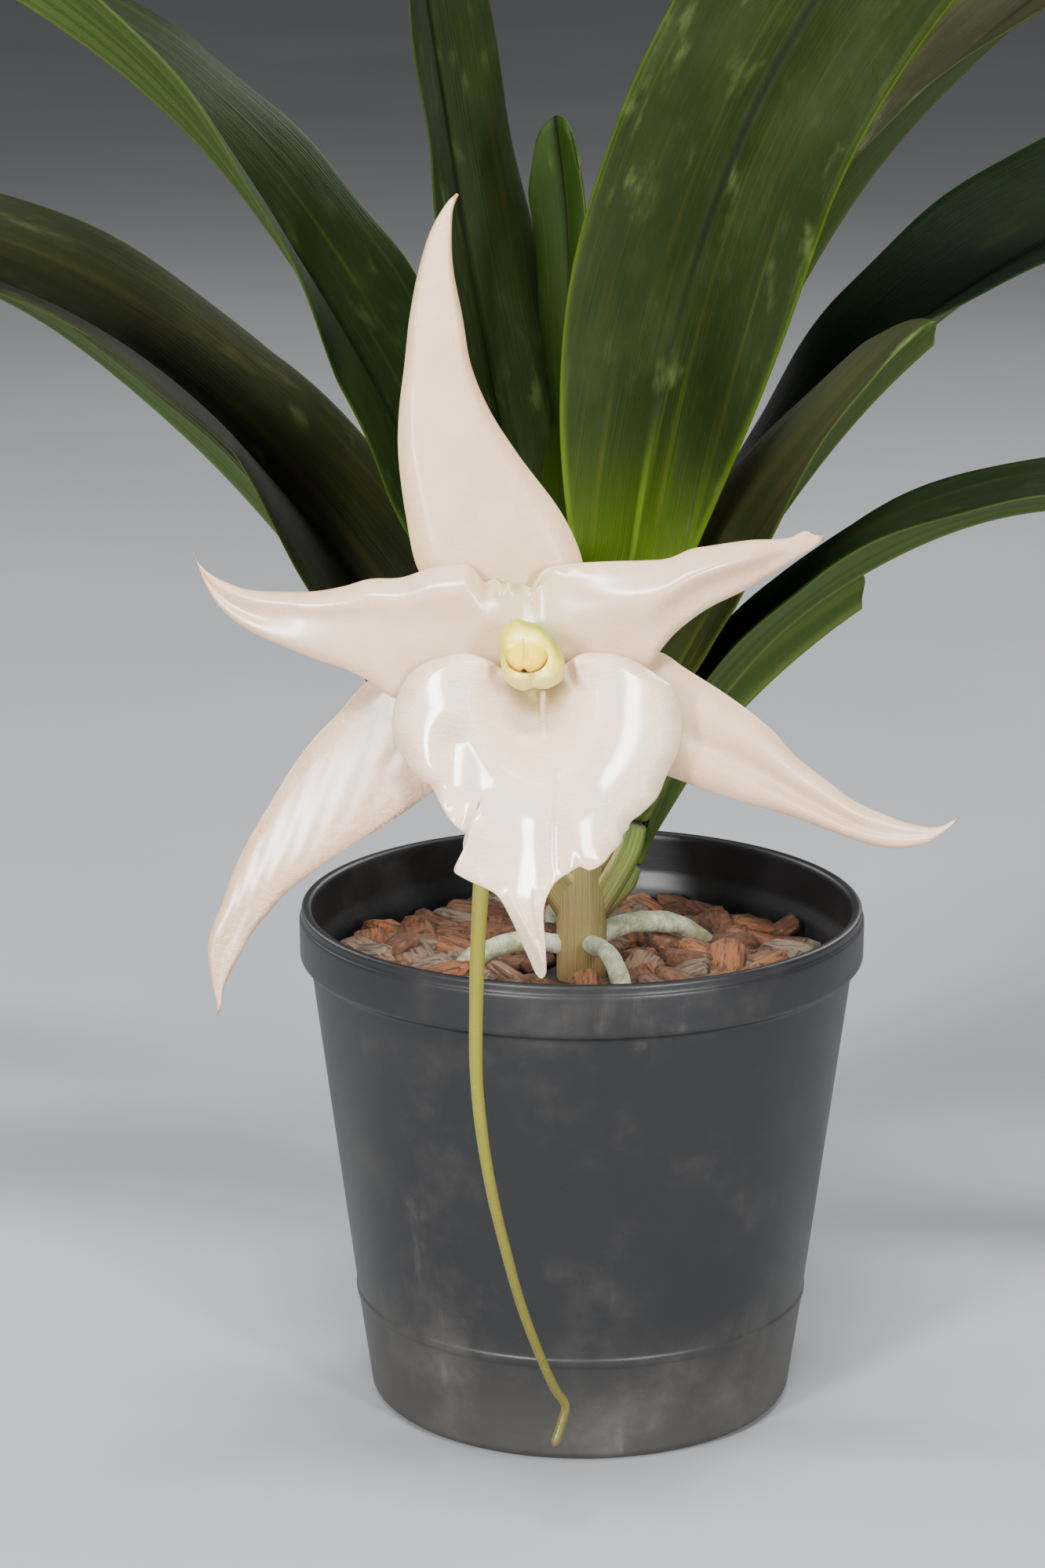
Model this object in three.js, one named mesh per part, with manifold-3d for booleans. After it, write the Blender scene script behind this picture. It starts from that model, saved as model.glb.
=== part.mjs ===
// A potted angraecum orchid: one white, long-spurred flower held in front of a fan of strap leaves,
// rooted in bark chips in a plain black nursery pot. Millimetres, +Z up, the origin at the centre of
// the pot's underside, the flower facing -Y and tipped a little upwards.
import * as THREE from 'three';
import { mergeVertices } from 'three/addons/utils/BufferGeometryUtils.js';
import Module from 'manifold-3d';

const wasm = await Module();
wasm.setup();

// Driving dimensions
const POT_HEIGHT = 118;
const POT_RIM_RADIUS = 65;
const POT_BASE_RADIUS = 49;
const POT_WALL = 1.8;
const POT_RIM_DEPTH = 13;
const POT_SIDES = 40;
const DRAIN_HOLES = 6;
const DRAIN_RADIUS = 4.5;
const DRAIN_CIRCLE = 30;
const BARK_TOP = 101;
const BARK_CHIPS = 28;
const STEM_FOOT = 82;
const STEM_HEAD = 180;
const SHEATH_FOOT = 114;
const LEAF_THICKNESS = 2.0;
const LEAF_KEEL = 0.9;
const PETAL_THICKNESS = 1.7;
const FLOWER_CENTRE = new THREE.Vector3(-13, -130, 208);
const FACE_TILT = THREE.MathUtils.degToRad(15);
const KNOB_SIDES = 12;
const COLUMN_SIDES = 16;
const COLUMN_FOOT = { x: 0, up: 1, radius: 3.5, back: -8.3 };
const GAP = 0.35;

const { abs, cos, exp, hypot, max, min, PI, sign, sin, sqrt } = Math;
const radians = THREE.MathUtils.degToRad;
const smooth = (value, low, high) => THREE.MathUtils.smoothstep(value, low, high);
const vec = (x, y, z) => new THREE.Vector3(x, y, z);

// A small seeded generator, so that the bark chips fall the same way each time
function seeded(seed) {
  let state = seed;
  return () => {
    state = (state * 1664525 + 1013904223) % 4294967296;
    return state / 4294967296;
  };
}

// The value at u of a smooth curve through three values, at the start, at two fifths and at the end
function bend([start, middle, end], u) {
  const m = 0.4;
  return start * (u - m) * (u - 1) / m + middle * u * (u - 1) / (m * (m - 1))
    + end * u * (u - m) / (1 - m);
}

// Materials
const matt = (color, roughness) => new THREE.MeshStandardMaterial({ color, roughness, metalness: 0 });
const potPlastic = matt(0x17181a, 0.62);
const barkBrown = matt(0x5b3d28, 0.9);
const stemGreen = matt(0x6f7a3a, 0.6);
const leafGreen = matt(0x2f4a1c, 0.42);
const rootSilver = matt(0xa9ab98, 0.85);
const stalkGreen = matt(0x7d8f45, 0.55);
const petalWhite = matt(0xefe9e2, 0.38);
const lipWhite = matt(0xf2ece8, 0.34);
const spurGreen = matt(0xa7a765, 0.5);
const columnCream = matt(0xe4e2c0, 0.4);
const antherYellow = matt(0xe8dfae, 0.4);

// Closed geometry from points and triangles, turned inside out if its faces point in
function closed(points, index) {
  let volume = 0;
  for (let i = 0; i < index.length; i += 3) {
    const [a, b, c] = [points[index[i]], points[index[i + 1]], points[index[i + 2]]];
    volume += a.dot(b.clone().cross(c));
  }
  if (volume < 0) index.reverse();
  const geometry = new THREE.BufferGeometry().setFromPoints(points);
  geometry.setIndex(index);
  return geometry;
}

// A blade between two faces, each a grid of rows and columns, split alike into triangles.
// A ring's columns run round it, and its first row closes on a point in the middle.
function slab(front, back, ring = false) {
  const rows = front.length;
  const cols = front[0].length;
  const points = [...front.flat(), ...back.flat()];
  const at = (face, row, col) => (face * rows + row) * cols + (col % cols);
  const index = [];
  const quad = (a, b, c, d) => index.push(a, b, c, a, c, d);
  const spans = ring ? cols : cols - 1;
  const end = rows - 1;
  for (let col = 0; col < spans; col += 1) {
    for (let row = 0; row < end; row += 1) {
      quad(at(0, row, col), at(0, row, col + 1), at(0, row + 1, col + 1), at(0, row + 1, col));
      quad(at(1, row, col), at(1, row + 1, col), at(1, row + 1, col + 1), at(1, row, col + 1));
    }
    quad(at(0, end, col), at(0, end, col + 1), at(1, end, col + 1), at(1, end, col));
    if (ring) {
      index.push(points.length, at(0, 0, col + 1), at(0, 0, col));
      index.push(points.length + 1, at(1, 0, col), at(1, 0, col + 1));
    } else {
      quad(at(0, 0, col), at(1, 0, col), at(1, 0, col + 1), at(0, 0, col + 1));
    }
  }
  if (ring) {
    for (const face of [front, back]) {
      const middle = vec(0, 0, 0);
      face[0].forEach((point) => middle.add(point));
      points.push(middle.divideScalar(cols));
    }
  } else {
    for (let row = 0; row < end; row += 1) {
      quad(at(0, row, 0), at(0, row + 1, 0), at(1, row + 1, 0), at(1, row, 0));
      quad(at(0, row, spans), at(1, row, spans), at(1, row + 1, spans), at(0, row + 1, spans));
    }
  }
  return closed(points, index);
}

// A solid through a row of rings, with a fan over each end
function rings(list) {
  const sides = list[0].length;
  const points = list.flat();
  const index = [];
  for (let row = 0; row < list.length - 1; row += 1) {
    for (let i = 0; i < sides; i += 1) {
      const j = (i + 1) % sides;
      const [a, b] = [row * sides + i, row * sides + j];
      index.push(a, b, b + sides, a, b + sides, a + sides);
    }
  }
  for (const row of [0, list.length - 1]) {
    const middle = vec(0, 0, 0);
    list[row].forEach((point) => middle.add(point));
    for (let i = 0; i < sides; i += 1) {
      const [a, b] = [row * sides + i, row * sides + (i + 1) % sides];
      index.push(points.length, row ? a : b, row ? b : a);
    }
    points.push(middle.divideScalar(sides));
  }
  return closed(points, index);
}

// A round tube along a smooth line, with its radius a function of the share u of its length, and grown
// by so much all over
function tube(line, radius, steps, sides, grow = 0) {
  const frames = line.computeFrenetFrames(steps, false);
  const list = [];
  for (let k = 0; k <= steps; k += 1) {
    const centre = line.getPointAt(k / steps);
    if (k === 0) centre.addScaledVector(frames.tangents[0], -grow);
    if (k === steps) centre.addScaledVector(frames.tangents[k], grow);
    const ring = [];
    for (let i = 0; i < sides; i += 1) {
      const angle = 2 * PI * i / sides;
      const r = radius(k / steps) + grow;
      ring.push(centre.clone().addScaledVector(frames.normals[k], r * cos(angle))
        .addScaledVector(frames.binormals[k], r * sin(angle)));
    }
    list.push(ring);
  }
  return rings(list);
}

const route = (points) => new THREE.CatmullRomCurve3(points.map((p) => vec(...p)), false, 'centripetal');

// Joins and cuts
function solid(geometry) {
  const bare = geometry.clone();
  bare.deleteAttribute('normal');
  bare.deleteAttribute('uv');
  const merged = mergeVertices(bare, 1e-4);
  const all = Array.from(merged.index.array);
  const kept = [];
  for (let i = 0; i < all.length; i += 3) {
    const [a, b, c] = all.slice(i, i + 3);
    if (a !== b && b !== c && c !== a) kept.push(a, b, c);
  }
  return new wasm.Manifold(new wasm.Mesh({
    numProp: 3,
    vertProperties: new Float32Array(merged.attributes.position.array),
    triVerts: new Uint32Array(kept),
  }));
}

// The largest piece of a body, without the scraps that a cut leaves loose
const whole = (body) => body.decompose().reduce((a, b) => (a.volume() > b.volume() ? a : b));

function surface(body) {
  const mesh = body.getMesh();
  const geometry = new THREE.BufferGeometry();
  geometry.setAttribute('position', new THREE.BufferAttribute(new Float32Array(mesh.vertProperties), 3));
  geometry.setIndex(Array.from(mesh.triVerts));
  return geometry;
}

const orchid = new THREE.Group();
function add(name, geometry, material) {
  const mesh = new THREE.Mesh(geometry, material);
  mesh.name = name;
  orchid.add(mesh);
}

// Pot: a tapered moulded wall under a collar, on a flat foot with drain holes round its centre
const wallTop = POT_HEIGHT - POT_RIM_DEPTH;
const rimStep = 2.4;
const outerRadius = (z) => POT_BASE_RADIUS + (POT_RIM_RADIUS - rimStep - POT_BASE_RADIUS) * z / wallTop;

function pot() {
  const inner = (z) => outerRadius(z) - POT_WALL;
  const profile = [
    [0, 0], [POT_BASE_RADIUS - 1.5, 0], [POT_BASE_RADIUS, 1.5],
    [outerRadius(wallTop), wallTop], [POT_RIM_RADIUS, wallTop + 1.2],
    [POT_RIM_RADIUS, POT_HEIGHT - 1], [POT_RIM_RADIUS - 1, POT_HEIGHT],
    [POT_RIM_RADIUS - POT_WALL - 0.6, POT_HEIGHT], [POT_RIM_RADIUS - POT_WALL - 1.2, POT_HEIGHT - 1],
    [POT_RIM_RADIUS - POT_WALL - 1.2, wallTop + 3], [inner(wallTop), wallTop - 0.5],
    [inner(POT_WALL), POT_WALL], [0, POT_WALL],
  ].map(([r, z]) => new THREE.Vector2(r, z));
  let body = solid(new THREE.LatheGeometry(profile, POT_SIDES).rotateX(PI / 2));
  for (let i = 0; i < DRAIN_HOLES; i += 1) {
    const angle = 2 * PI * i / DRAIN_HOLES;
    const hole = new THREE.CylinderGeometry(DRAIN_RADIUS, DRAIN_RADIUS, 4 * POT_WALL, 12);
    hole.rotateX(PI / 2).translate(DRAIN_CIRCLE * cos(angle), DRAIN_CIRCLE * sin(angle), 0);
    body = body.subtract(solid(hole));
  }
  return body;
}

// Stem: a short upright core, wrapped by the folded sheath of every leaf
const stemRadius = (u) => 5.2 + 0.9 * sin(PI * min(1, u * 1.5)) - 1.1 * u;
const stemLine = route([[0, 0, STEM_FOOT], [0, 0, 120], [0, 0, 150], [0, 0, STEM_HEAD]]);
const stemCore = (grow) => solid(tube(stemLine, stemRadius, 8, 10, grow));

// Leaves. Each is a strap folded along its midrib: side is the rank it grows in, foot where its blade
// leaves the sheath, lean its angle from upright and forward its angle towards -Y at the start, at two
// fifths and at the tip, and turn how far its upper face has swung from the stem towards -Y.
const LEAVES = {
  leaf_heart: { side: 1, foot: [-1.6, 3, 180.8], lean: [-2, 0, -10], forward: [-2, -2, -1],
    length: 117, width: 19, turn: [68, 14, 58], fold: 20, notch: 0 },
  leaf_right_front: { side: 1, foot: [8.5, -6.5, 178], lean: [6, 22, 88], forward: [1, 10, 26],
    length: 300, width: 53, turn: [86, 72, 78], fold: 16 },
  leaf_right_back: { side: 1, foot: [12.5, 7.5, 168], lean: [16, 35, 87], forward: [-20, -24, -12],
    length: 285, width: 46, turn: [27, -2, 50], fold: 22 },
  leaf_right_high: { side: 1, foot: [12.5, 5, 157], lean: [24, 52, 125], forward: [-2, -26, -16],
    length: 280, width: 49, turn: [-37, 14, 70], fold: 24 },
  leaf_right_short: { side: 1, foot: [12.5, -6.5, 153], lean: [21, 29, 48], forward: [15, 8, 3],
    length: 124, width: 32, turn: [25, 30, -4], fold: 24 },
  leaf_right_level: { side: 1, foot: [13, -3, 138], lean: [24, 53, 136], forward: [4, 20, 4],
    length: 205, width: 31, turn: [4, -2, 18], fold: 24 },
  leaf_right_low: { side: 1, foot: [12, 7.5, 125], lean: [27, 42, 62], forward: [-20, -25, -19],
    length: 88, width: 38, turn: [44, -44, -28], fold: 24 },
  leaf_left_upright: { side: -1, foot: [-8.5, 6, 177], lean: [12, 10, 1], forward: [-11, -8, -3],
    length: 285, width: 36, turn: [59, 33, 20], fold: 22 },
  leaf_left_high: { side: -1, foot: [-11.5, -6.5, 161], lean: [24, 27, 96], forward: [17, 23, -6],
    length: 290, width: 45, turn: [46, 30, -38], fold: 22 },
  leaf_left_back: { side: -1, foot: [-12, 5.5, 144], lean: [52, 45, 98], forward: [-13, -18, -13],
    length: 230, width: 32, turn: [16, 8, 19], fold: 26 },
  leaf_left_arched: { side: -1, foot: [-12.5, -3.5, 136], lean: [36, 44, 148], forward: [-5, 9, 22],
    length: 292, width: 48, turn: [82, 21, 14], fold: 26 },
};
const LEAF_COLUMNS = [-1, -0.5, 0, 0.5, 1];
const LEAF_ROWS = [0, 0.02, 0.045, 0.08, 0.12, 0.17, 0.23, 0.3, 0.38, 0.46, 0.54, 0.62, 0.7, 0.78, 0.86,
  0.93, 1];
const FOOT_WIDTH = 0.3;
const FOOT_FOLD = 48;
const TIP_NOTCH = 3;
const TIP_ROUND = 12;
const TIP_STEP = 4;

// The midrib as a line integrated from its angles, with the directions of the blade beside it
function midrib(leaf) {
  const steps = 80;
  const heading = (u) => {
    const lean = radians(bend(leaf.lean, u)) * leaf.side;
    const forward = radians(bend(leaf.forward, u));
    return {
      along: vec(sin(lean) * cos(forward), -sin(forward), cos(lean) * cos(forward)),
      inward: vec(-cos(lean) * leaf.side, 0, sin(lean) * leaf.side),
    };
  };
  const spots = [vec(...leaf.foot)];
  for (let k = 0; k < steps; k += 1) {
    const { along } = heading((k + 0.5) / steps);
    spots.push(spots[k].clone().addScaledVector(along, leaf.length / steps));
  }
  return (distance) => {
    const u = distance / leaf.length;
    const k = min(steps - 1, max(0, Math.floor(u * steps)));
    const centre = spots[k].clone().lerp(spots[k + 1], u * steps - k);
    const { along, inward } = heading(u);
    const front = along.clone().cross(inward);
    if (front.y > 0) front.negate();
    const late = max(0, u - 0.4) / 0.6;
    const early = min(1, max(0, u) / 0.4);
    const full = leaf.turn[0] + (leaf.turn[1] - leaf.turn[0]) * early + (leaf.turn[2] - leaf.turn[1]) * late;
    const turn = radians(full * smooth(u, 0, 0.09));
    const normal = inward.clone().multiplyScalar(cos(turn)).addScaledVector(front, sin(turn));
    return { centre, along, normal, across: along.clone().cross(normal) };
  };
}

// A row of the folded section: two arms from the midrib, thinner towards the margins
function foldedRow(frame, halfWidth, fold, grow, columns = LEAF_COLUMNS) {
  return columns.map((v) => {
    const arm = frame.centre.clone().addScaledVector(frame.across, halfWidth * v * cos(fold))
      .addScaledVector(frame.normal, halfWidth * abs(v) * sin(fold));
    const upward = frame.normal.clone().multiplyScalar(v ? cos(fold) : 1)
      .addScaledVector(frame.across, -sign(v) * sin(fold));
    const half = LEAF_THICKNESS / 2 * (1 - 0.45 * v * v) + grow;
    const keel = v ? 0 : LEAF_KEEL;
    return [arm.clone().addScaledVector(upward, half), arm.addScaledVector(upward, -half - keel)];
  });
}

function blade(leaf, stations, grow = 0) {
  const at = midrib(leaf);
  const front = [];
  const back = [];
  for (const u of stations) {
    const opening = FOOT_WIDTH + (1 - FOOT_WIDTH) * sin(PI / 2 * min(1, u / 0.35)) ** 0.8;
    const halfWidth = leaf.width / 2 * opening * (1 - 0.2 * u ** 8) + grow;
    const fold = radians(leaf.fold + (FOOT_FOLD - leaf.fold) * max(0, 1 - u / 0.3) ** 1.5);
    const row = LEAF_COLUMNS.map((v, i) => {
      const notch = (leaf.notch ?? TIP_NOTCH) * exp(-((v / 0.22) ** 2));
      const trim = notch + TIP_ROUND * v ** 4 + (v < 0 ? TIP_STEP * abs(v) : 0);
      const distance = u * leaf.length - trim * u ** 10 + (u ? 0 : -grow);
      return foldedRow(at(distance), halfWidth, fold, grow)[i];
    });
    front.push(row.map((pair) => pair[0]));
    back.push(row.map((pair) => pair[1]));
  }
  return slab(front, back);
}

// A sheath runs from just under its blade down into the core, folding tighter round it
function sheath(leaf) {
  const at = midrib(leaf);
  const top = at(-GAP);
  const root = vec(leaf.side * 3.5, 0, max(SHEATH_FOOT, leaf.foot[2] - 30));
  const halfWidth = leaf.width / 2 * FOOT_WIDTH;
  const front = [];
  const back = [];
  for (let k = 0; k <= 3; k += 1) {
    const t = k / 3;
    const frame = { ...top, centre: top.centre.clone().lerp(root, t) };
    frame.centre.x += leaf.side * 2.2 * sin(PI * t) * (1 - t);
    const row = foldedRow(frame, halfWidth * (1 + 0.1 * t), radians(FOOT_FOLD + 16 * t), 0.25 * sin(PI * t));
    front.push(row.map((pair) => pair[0]));
    back.push(row.map((pair) => pair[1]));
  }
  return slab(front, back);
}

// Roots: thick grey roots from the foot of the stem, each diving into the bark
const ROOTS = {
  root_left: { radius: 2.4,
    line: [[-4, -1, 108], [-14, -3, 109.5], [-25, -4, 105.5], [-30, -4, 98], [-31, -4, 88]] },
  root_back: { radius: 2.6,
    line: [[-1, 4, 108], [-3, 14, 111], [-5, 27, 108], [-6, 35, 99], [-6, 37, 87]] },
  root_right: { radius: 2.3,
    line: [[3, 3, 109], [12, 10, 110], [24, 17, 107], [32, 22, 98], [34, 23, 88]] },
  root_front: { radius: 2.2,
    line: [[2, -4, 109], [6, -15, 110], [9, -25, 105], [10, -31, 96], [10, -32, 86]] },
};
const rootTube = (root, grow) => {
  const tip = (u) => sqrt(max(0.08, 1 - max(0, (u - 0.88) / 0.12) ** 2));
  return solid(tube(route(root.line), (u) => root.radius * tip(u), 12, 8, grow));
};

// Bark: the whole filling of the pot, with chips standing out of its top
function bark() {
  const random = seeded(11);
  const side = (z) => outerRadius(z) - POT_WALL - GAP;
  const floor = POT_WALL + GAP;
  const profile = [[0, floor], [side(floor) - 0.3, floor], [side(BARK_TOP - 3), BARK_TOP - 3],
    [side(BARK_TOP) - 6, BARK_TOP], [20, BARK_TOP + 1.5], [0, BARK_TOP + 2],
  ].map(([r, z]) => new THREE.Vector2(r, z));
  let body = solid(new THREE.LatheGeometry(profile, POT_SIDES).rotateX(PI / 2));
  for (let i = 0; i < BARK_CHIPS; i += 1) {
    const chip = new THREE.BoxGeometry(10 + 8 * random(), 7 + 5 * random(), 4 + 3 * random());
    const corner = chip.attributes.position;
    const taper = 0.65 + 0.3 * random();
    for (let k = 0; k < corner.count; k += 1) {
      const scale = corner.getZ(k) > 0 ? taper : 1;
      corner.setXYZ(k, corner.getX(k) * scale, corner.getY(k) * scale, corner.getZ(k));
    }
    const reach = side(BARK_TOP) - 12;
    const distance = 17 + (reach - 17) * sqrt(i / BARK_CHIPS);
    const angle = i * radians(137.5);
    chip.rotateX(0.5 * (random() - 0.5)).rotateY(0.5 * (random() - 0.5)).rotateZ(2 * PI * random());
    chip.translate(distance * cos(angle), distance * sin(angle), BARK_TOP + 1.2 * random());
    body = body.add(solid(chip));
  }
  body = body.subtract(stemCore(GAP));
  for (const root of Object.values(ROOTS)) body = body.subtract(rootTube(root, GAP));
  return body;
}

// The flower's face: x to the right, up the face, and out of it towards the viewer
function face(x, up, out) {
  return vec(x, -out * cos(FACE_TILT) + up * sin(FACE_TILT), out * sin(FACE_TILT) + up * cos(FACE_TILT))
    .add(FLOWER_CENTRE);
}

// Flower stalk: it leaves the stem in a low axil, runs forward with two clasping bracts and swells into
// the knob that carries the flower
const hub = face(COLUMN_FOOT.x, COLUMN_FOOT.up, -12.2);
const stalkLine = route([[2, -4, 132], [3, -14, 141], [2, -32, 156], [-2, -56, 175], [-8, -82, 192],
  [-11.5, -102, 201.5], hub.toArray()]);

const stalkRadius = (u) => 2.5 - 0.4 * u + 0.9 * smooth(u, 0.72, 0.95);
const stalkTube = (grow) => solid(tube(stalkLine, stalkRadius, 18, 8, grow));

function stalk() {
  let joined = stalkTube(0);
  for (const u of [0.2, 0.5]) {
    const point = stalkLine.getPointAt(u);
    const next = stalkLine.getPointAt(u + 0.12);
    const bract = tube(route([point.toArray(), next.toArray()]), (t) => 3.1 + 1.0 * t, 2, 10);
    joined = joined.add(solid(bract));
  }
  const rows = [[-13.8, 3.2], [-12.6, 4.6], [-10.6, 5.1], [-9.3, 4.6], [COLUMN_FOOT.back - GAP, 3.6]];
  const knob = rows.map(([out, radius]) => {
    const ring = [];
    for (let i = 0; i < KNOB_SIDES; i += 1) {
      const angle = 2 * PI * i / KNOB_SIDES;
      ring.push(face(COLUMN_FOOT.x + radius * cos(angle), COLUMN_FOOT.up + radius * sin(angle), out));
    }
    return ring;
  });
  return joined.add(solid(rings(knob)));
}

// Every sheath grown onto the core, cut clear of the feet of the blades and of the stalk
const FOOT_REACH = 45;
function stem() {
  let body = stemCore(0);
  for (const leaf of Object.values(LEAVES)) {
    if (leaf !== LEAVES.leaf_heart) body = body.add(solid(sheath(leaf)));
  }
  for (const leaf of Object.values(LEAVES)) {
    body = body.subtract(solid(blade(leaf, LEAF_ROWS.filter((u) => u * leaf.length < FOOT_REACH), GAP)));
  }
  return whole(body.subtract(stalkTube(GAP)));
}

// Sepals and petals: the centre line of each as x, up and half width, how far out of the face it lies
// at its foot, at two fifths and at its tip, and how far its margins fall back and its upper one rolls out
const PERIANTH = {
  dorsal_sepal: { out: [-7.3, -5.5, -13], fall: 0.1, roll: 0,
    line: [[0, 5.2, 4], [-2, 9.5, 9.5], [-5.5, 18, 15.4], [-12, 36, 12.4], [-15.8, 48, 9.2], [-18.2, 67, 5.8],
      [-17.9, 80, 3], [-15.9, 87, 1.4], [-13.5, 90.4, 0.5]] },
  lateral_sepal_left: { out: [-7.3, -7.5, -16], fall: 0.14, roll: 0,
    line: [[-3.8, -0.9, 2.6], [-9, -5, 6.4], [-16, -10.6, 10.6], [-25.2, -17.5, 12.6], [-34.2, -25, 11.5],
      [-41.5, -31.3, 9.8], [-50.2, -42, 7.2], [-56.5, -51.5, 5.2], [-60.2, -62, 2.8], [-60.8, -71.8, 0.5]] },
  lateral_sepal_right: { out: [-7.3, -7.5, -17], fall: 0.14, roll: 0,
    line: [[3.8, -0.7, 2.6], [9, -4.2, 6.2], [16, -8.2, 10], [27.5, -13.3, 12], [37, -18, 10.6],
      [45, -22, 8.8], [52.5, -26.8, 6.4], [60, -31, 5.1], [71, -35.8, 3.3], [80.5, -36, 1.3], [85.4, -33.2, 0.5]] },
  petal_left: { out: [-3.2, -2.2, -13], fall: 0.1, roll: 0.22,
    line: [[-4.1, 1.8, 2.6], [-8, 3.2, 8.2], [-14, 3.4, 12.3], [-26, 2.8, 11.8], [-37.2, 4.4, 8.4],
      [-45, 5.3, 6.3], [-52.3, 7.5, 5.2], [-58.8, 10.8, 3.7], [-63.2, 15, 2], [-65.9, 19.7, 0.5]] },
  petal_right: { out: [-3.2, -2.2, -12], fall: 0.1, roll: 0.22,
    line: [[4.1, 1.9, 2.6], [8, 4.2, 8.2], [13, 5.8, 12], [22, 8, 12], [29.5, 11.3, 8.5], [36, 14.8, 5.6],
      [44, 17.8, 4.5], [51.2, 19.6, 3.2], [56.5, 21.9, 1.9], [58.9, 22.8, 0.6]] },
};
const PETAL_COLUMNS = [-1, -0.66, -0.33, 0, 0.33, 0.66, 1];

const PETAL_STEPS = 15;

function perianth(piece) {
  const line = route(piece.line);
  const front = [];
  const back = [];
  for (let k = 0; k <= PETAL_STEPS; k += 1) {
    const u = k / PETAL_STEPS;
    const centre = line.getPoint(u);
    const along = line.getTangent(u).setZ(0).normalize();
    const upper = along.x < 0 ? -1 : 1;
    const out = bend(piece.out, u);
    const rows = PETAL_COLUMNS.map((v) => {
      const lift = piece.roll * smooth(v * upper, 0.5, 1) * smooth(u, 0.1, 0.4);
      const depth = out - piece.fall * centre.z * v * v + lift * centre.z;
      const half = PETAL_THICKNESS / 2 * (1 - 0.4 * v * v);
      const [x, up] = [centre.x - along.y * centre.z * v, centre.y + along.x * centre.z * v];
      return [face(x, up, depth + half), face(x, up, depth - half)];
    });
    front.push(rows.map((pair) => pair[0]));
    back.push(rows.map((pair) => pair[1]));
  }
  return slab(front, back);
}

// Lip: a broad bowl about the throat, with two rounded shoulders and a pointed apex below
const THROAT = { x: 1.5, up: -7.8, depth: -7 };
const LIP_OUTLINE = [[-4, -3.9], [-6.6, -2.3], [-10.9, -0.5], [-17, -1.2], [-21.7, -3.1], [-24.8, -7],
  [-26, -11.6],
  [-25.9, -16.3], [-24, -20.9], [-20.9, -24.8], [-18.6, -27.6], [-17, -31], [-14.7, -33.3], [-12.5, -33.4],
  [-10.4, -31.8], [-11, -38], [-12.8, -43.4], [-9.3, -45.7], [-5.4, -48], [-3.1, -51.9], [-0.8, -57.4],
  [1.6, -62.8], [3.1, -64.5], [4.2, -63.2], [4, -59.7], [3.4, -55.8], [3.1, -51.9], [3.9, -48], [6.2, -45],
  [10.9, -42.3], [14.7, -42.6], [17.8, -39.5], [20.2, -34.5], [23.2, -31], [25.6, -28.7], [27.9, -24],
  [30.2, -19.4], [30.8, -15.5], [30.4, -9.3], [28.7, -7], [24.8, -3.9], [20.2, -1.2], [15.5, -0.3],
  [10.4, -1], [7, -3.2], [2, -4.3]];
const LIP_RINGS = [0.14, 0.3, 0.46, 0.62, 0.76, 0.89, 1];

function lipDepth(x, up, share) {
  const [a, b] = [x - THROAT.x, up - THROAT.up];
  const distance = hypot(a, b) + 1e-6;
  const sideways = (a / distance) ** 2;
  const below = max(0, -b / distance);
  const above = max(0, b / distance);
  const pit = (THROAT.depth + 1.5) * (1 - smooth(distance, 0, 6)) - 1.5;
  const dome = sin(0.8 * PI * min(1, share) ** 0.95);
  const height = 9 * sideways * (1 - 0.5 * above) + 3.2 * below ** 2 + 1.5 * above * smooth(distance, 4, 9);
  const ridge = 1.4 * exp(-((a / 2.6) ** 2)) * smooth(-b, 24, 34);
  return pit + height * dome + ridge - 3.5 * below ** 4 * smooth(share, 0.55, 1);
}

function lip() {
  const front = [];
  const back = [];
  for (const share of LIP_RINGS) {
    const half = PETAL_THICKNESS / 2 * (1.05 - 0.4 * share);
    const ring = LIP_OUTLINE.map(([x, up]) => {
      const [px, pu] = [THROAT.x + share * (x - THROAT.x), THROAT.up + share * (up - THROAT.up)];
      const depth = lipDepth(px, pu, share);
      return [face(px, pu, depth + half), face(px, pu, depth - half)];
    });
    front.push(ring.map((pair) => pair[0]));
    back.push(ring.map((pair) => pair[1]));
  }
  return slab(front, back, true);
}

// Spur: a long hollow-looking tail from behind the throat, hanging to a small hook
const SPUR_LINE = [[-11.5, -124.6, 198.2], [-12, -119, 194.5], [-14.5, -114.5, 187.5], [-18, -111.5, 178],
  [-21, -110, 165], [-22.6, -108.5, 145], [-23.2, -107.5, 127.5], [-23.2, -106, 111.5], [-22, -104.5, 97.5],
  [-19.9, -103, 84], [-16.9, -101, 70], [-14.1, -99, 58.5], [-10.8, -97, 48], [-6.9, -95, 37.6],
  [-4.4, -93.8, 32.6], [-5.3, -94.5, 28.7], [-6.9, -96, 24.2]];
const SPUR_MOUTH = 2.2;
const SPUR_END = 1.0;
const spurRadius = (u) => SPUR_END + (SPUR_MOUTH - SPUR_END) * (1 - u) ** 1.6 - 0.3 * smooth(u, 0.96, 1);

// Column: the short thick post over the throat, with two lobes below its hollowed front
function oval(x, up, out, radii, across, down) {
  const ball = new THREE.SphereGeometry(1, across, down).scale(...radii);
  const frame = new THREE.Matrix4().makeRotationX(-FACE_TILT).setPosition(face(x, up, out));
  return ball.applyMatrix4(frame);
}
const ANTHER = { x: 0.15, up: -1, out: 10.6, radii: [4.05, 2.6, 2.95] };

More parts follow.
